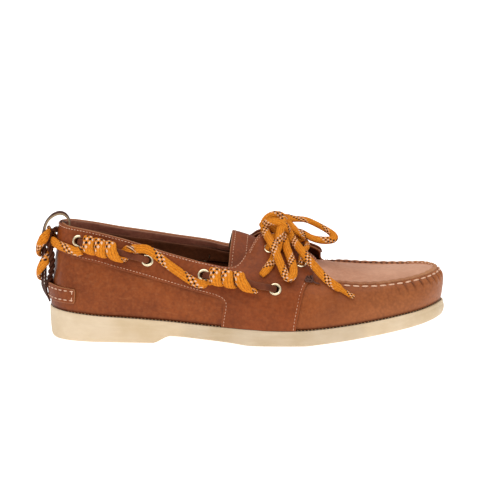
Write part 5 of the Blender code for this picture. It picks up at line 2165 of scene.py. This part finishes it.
@dataclass
class HeelTrim:
    """The strip sewn round the back of the heel, and the pull strap that loops up over the collar."""

    last: Last
    looks: Finishes
    thickness: float = 1.4
    lift: float = 0.45
    strip_rows: float = 5 / 3
    strip_edges: tuple = (29.5, 40.5)
    flare: float = 3.0
    strap_width: float = 11.0
    strap_turn: float = 19.0
    # How far round it is turned at each share of its length.
    turned: tuple = (
        (0, 0.2), (0.05, 0.7), (0.1, 1), (0.4, 0.9), (0.48, 0.3), (0.58, 0), (0.66, 0.1), (1, 0),
    )
    # Middle line of the thongs: x, y, z.
    thong: tuple = (
        (-139.5, -2.5, 83), (-143.5, -3.5, 82), (-147.5, -4.5, 80.6), (-150, -6.4, 77), (-150, -8.4, 71.5),
        (-147.5, -9.4, 65), (-147.3, -9.4, 58), (-147.9, -8.8, 51), (-149.2, -7.6, 44.5), (-150.6, -5.4, 38.5),
    )
    # Middle line of the strap: x, z.
    line: tuple = (
        (-150, 26.2), (-152, 30.2), (-153.6, 34.5), (-154.4, 39.5), (-154.3, 50), (-154.2, 62), (-154.8, 75),
        (-153, 85), (-149, 91), (-143.5, 94.2), (-138.5, 94), (-134.6, 90.5), (-133.4, 85), (-135.6, 78.5),
        (-138.6, 70), (-139.7, 62.5),
    )

    def flared(self, u: Array, share: float) -> Array:
        """How far the strip's face stands off the wall at rows u and a share of its height."""
        return (self.lift + self.thickness + self.flare * share**1.3 * bump_at(u, 0.0, 0.5))[:, None]

    def strip_point(self, u: Array, z: Array, lift: float) -> tuple[Array, Array]:
        """Points over the back of the heel.

        Args:
            u: row numbers.
            z: heights.
            lift: how far over the wall each point lies.

        Returns:
            The points, and the wall's normals there.
        """
        v = np.linspace(0.05, 0.6, 120)
        found = []
        for a, b in zip(u, z, strict=True):
            rib = self.last.wall(np.full(120, a), v)[:, 2]
            found.append(np.interp(b, rib, v))
        found = np.array(found)
        return self.last.wall(u, found, lift), self.last.normal(u, found)

    def build(self, sewing: Sewing) -> None:
        """Builds the strip and the strap with their stitches.

        Args:
            sewing: the sewing.
        """
        u = np.linspace(-self.strip_rows, self.strip_rows, 70)
        low, high = self.strip_edges
        grid = []
        for share in np.linspace(0, 1, 12):
            end = 1 - 0.03 * (2 * share - 1) ** 4
            bulge = 1.2 * np.cos(u / self.strip_rows * math.pi / 2)
            z = low + (high - low + bulge * share) * share
            grid.append(self.strip_point(u * end, z, self.flared(u, share))[0])
        made = sheet("heel_strip_body", np.array(grid), self.thickness, [self.looks.body], 0.35, (-1.0, 0.0, 0.0))
        keep(made, "dark_leather", "heel_strip")
        seams = []
        for z in (low + 2.4, high - 1.7):
            row = np.linspace(-1.54, 1.54, 160)
            lift = self.flared(row, (z - low) / (high - low)) + 0.1
            seams.append(self.strip_point(row, np.full(160, z), lift))
        for end in (-1.56, 1.56):
            z = np.linspace(low + 3.2, high - 2.7, 20)
            seams.append(self.strip_point(np.full(20, end), z, self.lift + self.thickness + 0.1))
        made = sewing.row(
            "heel_strip_stitches", *zip(*seams, strict=True), self.looks.hand_thread,
            pitch=5.0, length=3.6, width=0.9,
        )
        keep(made, "dark_leather")
        self.strap(sewing)
        self.twist()

    def twist(self) -> None:
        """Builds the twisted pair of dark thongs that ties the pull strap to the back of the heel."""
        path = curve(self.thong, 0.7)
        _, away, across = crossways(path)
        run = run_of(path)
        for k in range(2):
            turn = (run / 9.0 + k / 2) * 2 * math.pi
            line = path + 1.15 * (np.cos(turn)[:, None] * away + np.sin(turn)[:, None] * across)
            keep(sweep(f"heel_thong_{k + 1}", line, 2.7, 2.4, self.looks.strap, around=10), "dark_leather")

    def strap(self, sewing: Sewing) -> None:
        """Builds the pull strap and its stitches: a band folded over the collar, flesh side inwards.

        Args:
            sewing: the sewing.
        """
        path = curve([(x, 0.0, z) for x, z in self.line], 1.0)
        n = len(path)
        share = np.linspace(0, 1, n)
        turn = math.radians(self.strap_turn) * np.interp(share, *np.transpose(self.turned))
        wide = np.column_stack([-np.sin(turn), np.cos(turn), np.zeros(n)])
        half = self.strap_width / 2 * np.linspace(-1, 1, 9)
        grid = path[:, None] + wide[:, None] * half[None, :, None]
        made = sheet(
            "pull_strap_body", grid, self.thickness, [self.looks.strap, self.looks.flesh], 0.35, (-1.0, 0.0, 0.3)
        )
        # The pale cut edge, at the loop also a painted highlight, is faded out below the loop.
        marks = made.data.attributes["edge"].data
        for vertex in made.data.vertices:
            marks[vertex.index].value *= 0.12 + 0.88 * float(step_at(vertex.co.z / MM, 78.0, 84.0))
        keep(made, "dark_leather", "pull_strap")
        out = np.cross(unit(np.gradient(path, axis=0)), wide)
        out = out * np.where(out[:1, :1] > 0, -1, 1)
        lines = [path + wide * off + out * 0.12 for off in (-3.9, 3.9)]
        first, last = int(n * 0.14), int(n * 0.34)
        lines, outs = [line[first:last] for line in lines], [out[first:last]] * 2
        made = sewing.row(
            "pull_strap_stitches", lines, outs, self.looks.white_thread, pitch=2.6, length=1.7, width=0.6, sway=0.12
        )
        keep(made, "dark_leather")


def cord_line(points: Rows, times: int) -> Array:
    """The rows of a cord through the given ones, with small kinks evened out a number of times."""
    return relaxed(curve(points, 0.75), times)


@dataclass
class SideLacing:
    """Eyelets, the rawhide laces between them, and the braided cord that winds round the laces and the heel."""

    last: Last
    looks: Finishes
    lace_width: float = 5.2
    lace_thick: float = 1.7
    wrap_lift: float = 6.7
    wrap_high: float = 5.6
    wrap_deep: float = 4.4
    wrap_width: float = 8.6
    wrap_thick: float = 3.6
    braid_pace: float = 0.732
    braid_start: tuple = (13.0, 16.9)
    band_size: tuple = (6.8, 4.0)
    waist_size: tuple = (6.9, 4.1)
    heel_size: tuple = (7.4, 3.6)
    # A lace in an eyelet: lifts, width, thickness.
    lace_pass: tuple = (-2.9, -1.2, 1.5)
    pass_size: tuple = (4.3, 2.2)
    # A lace between its eyelets: share of the way, lift.
    lace_rise: tuple = (
        (0.035, 3.3), (0.1, 4.8), (0.22, 5.4), (0.36, 5.4), (0.5, 5.2), (0.64, 4.4), (0.78, 3.8), (0.9, 3.4),
        (0.965, 2.8),
    )
    # The cord about a lace: angle in degrees, x.
    collar_turns: tuple = (
        (-135, -120.8), (-90, -119.2), (90, -117), (450, -109.2), (810, -101.6), (900, -94.5), (1080, -88),
    )
    instep_turns: tuple = (
        (-135, -26.6), (-90, -25), (90, -22.4), (450, -13.4), (810, -4.4), (900, 3.6), (945, 6.6),
    )
    # The cord between the laces: x, y, z behind the first lace, and x, height, lift between the two.
    heel_band: tuple = (
        (-146.2, 8.5, 73.6), (-142.8, 15.5, 72.4), (-137.8, 22.2, 71.5), (-132.4, 27.4, 70.4), (-127, 30.4, 69.4),
    )
    waist_band: tuple = (
        (-83.5, 71.5, 3.6), (-76, 71.5, 3), (-68.5, 67.5, 2.6), (-60, 61.2, 2.2), (-51, 55.2, 2.2),
        (-42, 49.6, 2.2), (-34.5, 46.6, 2.2),
    )
    # How much higher it lies on the inner side, from the first row to the last.
    medial_heel_rise: tuple = (-0.5, -4.5)
    medial_waist_rise: tuple = (-2.0, 1.5)
    heel_start: tuple = ((-146.6, 7.5, 67.8), (-148, 2, 70.8), (-147.8, -3.5, 73))
    # The wraps about the pull strap: their middle line, turns of half a circle, and shape.
    wrap_line: tuple = ((-153.7, 80.5), (-154.2, 75), (-153.8, 62), (-153.7, 50), (-153.6, 43.5))
    heel_turns: tuple = (-0.5, 3.12)
    heel_deep: float = 4.0
    heel_wide: float = 9.4
    heel_fall: float = 1.3
    heel_phase: float = 0.3
    heel_yaw: float = 9.0
    crossing: tuple = (
        (41.6, -28.6, 66.6), (43.4, -22, 68.6), (45.5, -15, 70), (46, -8, 71), (45, 0, 71.5),
        (43.5, 8, 72), (42.3, 15, 73), (41.3, 22.5, 71), (40.8, 27.6, 67.6),
    )

    def eyelets(self) -> None:
        """Sets all twelve eyelets."""
        points, outs = [], []
        for side, spots in EYELETS.items():
            for x, z in spots:
                spot, normal = self.last.seat(x, z, side, 1.75)
                points.append(spot)
                outs.append(normal)
        values = {
            "Ring radius": 3.85 * MM, "Ring half width": 0.88 * MM, "Barrel length": 4.6 * MM,
            "Plating": self.looks.brass,
        }
        made = run_tree("eyelets", eyelet_tree(), [np.array(points)], [np.array(outs)], values)
        nodes = [f"eyelet_{side.word}_{k + 1}" for side, spots in EYELETS.items() for k in range(len(spots))]
        keep(made, "plated_brass", *nodes)

    def lace(self, name: str, side: Side, first: int, second: int) -> None:
        """Builds one rawhide lace between two eyelets.

        Args:
            name: the object's name.
            side: the side of the foot.
            first: the number of the rear eyelet.
            second: the number of the front one.
        """
        start, end = (np.array(EYELETS[side][k]) for k in (first, second))
        a, na = self.last.seat(*start, side)
        b, nb = self.last.seat(*end, side)
        rows = [(*(a + na * lift), *na, *self.pass_size) for lift in self.lace_pass]
        for share, lift in self.lace_rise:
            p, n = self.last.seat(*(start * (1 - share) + end * share), side, lift)
            rows.append((*p, *n, self.lace_width, self.lace_thick))
        rows += [(*(b + nb * lift), *nb, *self.pass_size) for lift in self.lace_pass[::-1]]
        row = curve(rows, 0.9)
        forward, out = unit(b - a), row[:, 3:6]
        tip = np.linspace(0, 1, len(row))
        near = np.minimum(tip, 1 - tip) * run_of(row[:, :3])[-1]
        lean = (1 - step_at(near, 3.0, 7.5))[:, None] * np.where(tip < 0.5, -1, 1)[:, None]
        out = unit(out * (1 - np.abs(lean)) + forward * lean)
        made = sweep(
            name, row[:, :3], row[:, 6], row[:, 7], self.looks.rawhide, out, around=16, square=3.2,
            relief=stretched, edge_mark=True,
        )
        keep(made, "rawhide_lace", f"{name.split('_')[0]}_lace_{side.word}")

    def turns(self, side: Side, first: int, second: int, table: tuple) -> list[tuple]:
        """The cord's rows about a lace.

        Args:
            side: the side of the foot.
            first: the number of the lace's rear eyelet.
            second: the number of its front one.
            table: the angle round the lace and x, in rows.

        Returns:
            Rows of place, outward direction, width and thickness.
        """
        start, end = EYELETS[side][first], EYELETS[side][second]
        low, high = table[0][0], table[-1][0]
        rows = []
        for angle in np.linspace(low, high, round((high - low) / 20) + 1):
            x = float(np.interp(angle, *np.transpose(table)))
            share = (x - start[0]) / (end[0] - start[0])
            middle, normal = self.last.seat(x, start[1] * (1 - share) + end[1] * share, side, self.wrap_lift)
            along = unit(np.array([end[0] - start[0], 0.0, end[1] - start[1]]))
            up = np.cross(normal, along)
            up = -up if up[2] < 0 else up
            turn = math.radians(angle)
            out = up * math.cos(turn) + normal * math.sin(turn)
            place = middle + up * self.wrap_high * math.cos(turn) + normal * self.wrap_deep * math.sin(turn)
            rows.append((*place, *out, self.wrap_width, self.wrap_thick))
        return rows

    def heel_wraps(self) -> list[tuple]:
        """The cord's rows about the pull strap, from the top down: steep on the outer side, level behind.

        Returns:
            Rows of place, outward direction, width and thickness.
        """
        line = curve([(x, 0.0, z) for x, z in self.wrap_line], 0.8)
        yaw = math.radians(self.heel_yaw)
        turn = np.array([[math.cos(yaw), math.sin(yaw), 0], [-math.sin(yaw), math.cos(yaw), 0], [0, 0, 1]])
        phase = np.linspace(*(math.pi * end for end in self.heel_turns), 60)
        fall = phase + self.heel_fall * np.sin(phase - math.pi * self.heel_phase)
        share = (fall - fall[0]) / (fall[-1] - fall[0])
        rows = []
        for a, t in zip(phase, share, strict=True):
            at = np.array([np.interp(t, np.linspace(0, 1, len(line)), line[:, k]) for k in range(3)])
            place = at + np.array([-self.heel_deep * math.sin(a), -self.heel_wide * math.cos(a), 0.0]) @ turn
            out = unit(np.array([-self.heel_wide * math.sin(a), -self.heel_deep * math.cos(a), 0.0])) @ turn
            rows.append((*place, *out, *self.heel_size))
        return rows

    def winding(self, side: Side) -> None:
        """Builds the cord along one side, from the heel to the instep eyelet.

        Args:
            side: the side of the foot.
        """
        if side is Side.MEDIAL:
            rows = self.heel_wraps()[::-1]
        else:
            rows = [(*place, -0.9, 0.2, 0.3, 6.0, 4.0) for place in self.heel_start]
        rises = np.linspace(*self.medial_heel_rise, len(self.heel_band)) * side.index
        for (x, y, z), rise in zip(self.heel_band, rises, strict=True):
            rows.append((x, side.value * y, z + rise, -0.75, side.value * 0.66, 0.1, *self.band_size))
        rows += self.turns(side, 0, 1, self.collar_turns)
        rises = np.linspace(*self.medial_waist_rise, len(self.waist_band)) * side.index
        for (x, z, lift), rise in zip(self.waist_band, rises, strict=True):
            p, n = self.last.seat(x, z + rise, side, lift + 0.4)
            rows.append((*p, *n, *self.waist_size))
        rows += self.turns(side, 2, 3, self.instep_turns)
        made = self.cord_along(f"wound_cord_{side.word}", rows, self.braid_start[side.index])
        keep(made, "braided_cord", f"cord_{side.word}")

    def cord_along(self, name: str, rows: Rows, start: float) -> Object:
        """A braided cord through rows of place, outward direction, width and thickness.

        Args:
            name: the object's name.
            rows: the rows, in the shoe's millimetres.
            start: distance along the braid at the first row, in millimetres.

        Returns:
            The cord. Its tracers go round about once in each turn about a lace.
        """
        row = cord_line(rows, 6)
        return sweep(
            name, row[:, :3], row[:, 6], row[:, 7], self.looks.braid, unit(row[:, 3:6]), 20, 2.3, braided,
            start=start, pace=self.braid_pace,
        )

    def over_tongue(self) -> None:
        """Builds the cord between the two front eyelets."""
        route = [*self.last.through(Side.LATERAL, 5), *self.crossing, *self.last.through(Side.MEDIAL, 5)[::-1]]
        made = sweep("front_cord", cord_line(route, 8), 4.4, 4.2, self.looks.braid, relief=braided)
        keep(made, "braided_cord", "cord_crossing")

    def build(self) -> None:
        """Builds everything along the two sides."""
        self.eyelets()
        for side in Side:
            self.lace(f"collar_lace_body_{side.word}", side, 0, 1)
            self.lace(f"instep_lace_body_{side.word}", side, 2, 3)
            self.winding(side)
        self.over_tongue()


@dataclass
class Bow:
    """The bow over the throat.

    One cord through both throat eyelets makes the loops, another lies over them with its two ends free, and a
    short length goes round both as the knot.
    """

    last: Last
    looks: Finishes
    diameter: float = 6.4
    depth: float = 4.2
    knot_size: tuple = (6.0, 4.1)
    # The way that the cord's flat side looks, and what is added to it where a loop lies on the plug.
    facing: tuple = (0.0, -0.9, 0.44)
    lying: tuple = (0.0, 0.75, 1.2)
    # Points to each side over which the flat side's direction is evened out.
    span: int = 10
    # Middle lines of the cords: x, y, z.
    loops: tuple = (
        (22, 22, 78.5), (27, 14, 80), (33, 6, 76.5), (38, -2, 73.8), (40.8, -7.5, 74.3), (42, -10.5, 77.5),
        (38.3, -10, 81.5), (33, -8.5, 85.7), (29.5, -7.5, 90), (25, -9, 93.6), (20, -11, 94), (15.5, -13.5, 91.8),
        (13.3, -17, 87.6), (14.8, -22, 82.6), (17, -29, 79), (20, -36, 75.5), (22.4, -40.5, 70), (24.6, -43.5, 65),
        (26.8, -45.5, 60), (28.6, -47, 56.2), (29.9, -48.2, 53.6), (32, -48.8, 52.5), (34.2, -48, 53.5),
        (35.3, -46.2, 56), (35.2, -43.4, 58.8), (34.6, -40, 61.6), (32.6, -34, 66.8), (30.2, -28.5, 72),
        (28.4, -22.5, 78.5), (24, -18.5, 83.4), (19, -15.5, 86), (19, -8.5, 87.8), (24, -3, 89.3), (30, -1, 90.2),
        (34.5, -1, 89.6), (44.3, 1, 88.5), (50.4, 2, 86), (55.7, 2.5, 83.2), (61.8, 2.5, 79.7), (66, 1, 76.5),
        (66.3, -2, 74.2), (62.5, -4, 73.4), (55.7, -5, 73.8), (48.9, -5, 75.6), (44.5, -2.5, 77.8), (39, -1, 80),
        (33, -5, 80), (27, -12, 80), (21, -20.5, 79),
    )
    ends: tuple = (
        (11.2, -45.8, 54.6), (14.8, -43.6, 58.2), (19, -38.5, 63.2), (20.8, -36, 65.8), (22, -32, 69.2),
        (23.4, -30.8, 72.2), (24.2, -29, 77), (25.4, -25, 84.3), (27.2, -20, 90), (27.7, -16.5, 92.2),
        (28.8, -13, 88.7), (31.5, -14, 82.4), (34.5, -17, 77.4), (37.9, -24, 73.6), (42.4, -32.6, 69.6),
        (46.8, -36, 64.4), (51.9, -38.5, 59.1), (57.2, -42, 53.7), (63.3, -43.2, 48.4), (69.4, -44, 44.4),
        (75.4, -45.5, 40.8), (80.7, -46.5, 37.9),
    )
    knot: tuple = (
        (13, -7.5, 85.5), (12.6, -14.5, 87.6), (16, -20.2, 90), (21, -22.6, 91.4), (26, -22.6, 90),
        (30, -20.6, 86.4), (31.6, -15, 83.5),
    )

    def cord(self, name: str, path: Array, far_end: str, node: str, start: float) -> None:
        """Builds one cord of the bow.

        Args:
            name: the object's name.
            path: the cord's middle line.
            far_end: what its far end is; a bare end is narrower.
            node: the CAD node that it stands for.
            start: distance along the braid at the path's first point.
        """
        along = unit(np.gradient(path, axis=0))
        lying = step_at(path[:, 0], 31.0, 38.0) * step_at(path[:, 2], 72.0, 77.0)
        face = unit(np.array(self.facing) + lying[:, None] * np.array(self.lying))
        out = face - along * (along * face).sum(1)[:, None]
        # The flat side turns slowly, so its direction is a weighted mean along the cord.
        window = np.hanning(2 * self.span + 3)[1:-1, None]
        pad = np.pad(out, ((self.span, self.span), (0, 0)), mode="edge")
        out = unit(np.array([(pad[k : k + len(window)] * window).sum(0) for k in range(len(out))]))
        run = run_of(path)
        taper = np.ones(len(path))
        if far_end == "bare":
            taper = 0.6 + 0.4 * step_at(run[-1] - run, 10.0, 14.0)
            taper = taper * np.minimum(1.0, 0.75 + 0.25 * run / 5.0)
        made = sweep(
            name, path, self.diameter * taper, self.depth * taper, self.looks.braid, out, square=2.2,
            relief=braided, start=start,
        )
        keep(made, "braided_cord", node)

    def build(self) -> None:
        """Builds both cords of the bow, and the length round them."""
        route = [*self.last.through(Side.MEDIAL, 4), *self.loops, *self.last.through(Side.LATERAL, 4)[::-1]]
        path = cord_line(route, 8)
        self.cord("bow_loop_cord", path, "object", "bow_loops", 3.0)
        path = cord_line(self.knot, 4)
        out = np.tile(self.facing, (len(path), 1))
        made = sweep("bow_knot", path, *self.knot_size, self.looks.braid, out, square=2.2, relief=braided, start=7.0)
        keep(made, "braided_cord")
        path = cord_line(self.ends, 4)
        self.cord("bow_end_cord", path, "bare", "bow_ends", 9.0)


@dataclass
class Studio:
    """A white floor, a white surround, two soft lamps, and the camera."""

    looks: Finishes
    lens: float = 500.0
    sensor: float = 36.0
    view_width: float = 0.364
    elevation: float = 10.5
    aim: tuple = (0.0004, 0.0015, 0.0729)
    floor_size: float = 30.0
    surround: float = 0.45
    sky_power: float = 1.8
    sky_spread: float = 80.0
    sky_tilt: float = 12.0
    # The key lamp: place, size, power.
    key: tuple = ((-0.5, -1.0, 1.3), 0.9, 3.5)

    def build(self) -> None:
        """Sets up floor, light and camera."""
        size = self.floor_size
        floor = bpy.data.meshes.new("floor")
        corners = [(-size, -size, 0), (size, -size, 0), (size, size, 0), (-size, size, 0)]
        floor.from_pydata(corners, [], [(0, 1, 2, 3)])
        floor.materials.append(self.looks.floor)
        board = in_scene("floor", floor)
        world = bpy.data.worlds.new("white_surround")
        bpy.context.scene.world = world
        world.use_nodes = True
        colour, strength = world.node_tree.nodes["Background"].inputs[:2]
        colour.default_value, strength.default_value = (1.0, 1.0, 1.0, 1.0), self.surround
        self.lamp("key", *self.key)
        sky = bpy.data.lights.new("overhead", "SUN")
        sky.energy, sky.angle = self.sky_power, math.radians(self.sky_spread)
        in_scene("overhead", sky).rotation_euler = (math.radians(self.sky_tilt), 0.0, 0.0)
        data = bpy.data.cameras.new("camera")
        data.lens, data.sensor_width = self.lens, self.sensor
        data.clip_end = 60.0
        camera = in_scene("camera", data)
        back = Vector((0, -math.cos(math.radians(self.elevation)), math.sin(math.radians(self.elevation))))
        camera.location = Vector(self.aim) + back * (self.lens * self.view_width / self.sensor)
        camera.rotation_euler = (-back).to_track_quat("-Z", "Y").to_euler()
        bpy.context.scene.camera = camera
        bpy.context.scene.view_settings.view_transform = "Standard"

    def lamp(self, name: str, place: tuple, size: float, power: float) -> None:
        """Adds a soft lamp that points at the shoe.

        Args:
            name: its name.
            place: where it stands, in metres.
            size: its diameter.
            power: its power in watts.
        """
        data = bpy.data.lights.new(name, "AREA")
        data.size, data.energy, data.shape = size, power, "DISK"
        made = in_scene(name, data)
        made.location = place
        made.rotation_euler = (Vector((0, 0, 0.05)) - Vector(place)).to_track_quat("-Z", "Y").to_euler()
        made.visible_camera = False


def main() -> None:
    """Builds the shoe, piece by piece, and the studio."""
    logging.basicConfig(level=logging.INFO, format="%(name)s: %(message)s")
    looks = Finishes()
    last = Last()
    sewing = Sewing()
    Studio(looks).build()
    Bow(last, looks).build()
    SideLacing(last, looks).build()
    Outsole(last, looks).build(sewing)
    Upper(last, looks).build()
    for side in Side:
        Saddle(last, looks).build(sewing, side)
    ToePlug(last, looks).build(sewing)
    Tongue(looks).build(sewing)
    HeelTrim(last, looks).build(sewing)
    bpy.context.view_layer.update()


if __name__ == "__main__":
    main()
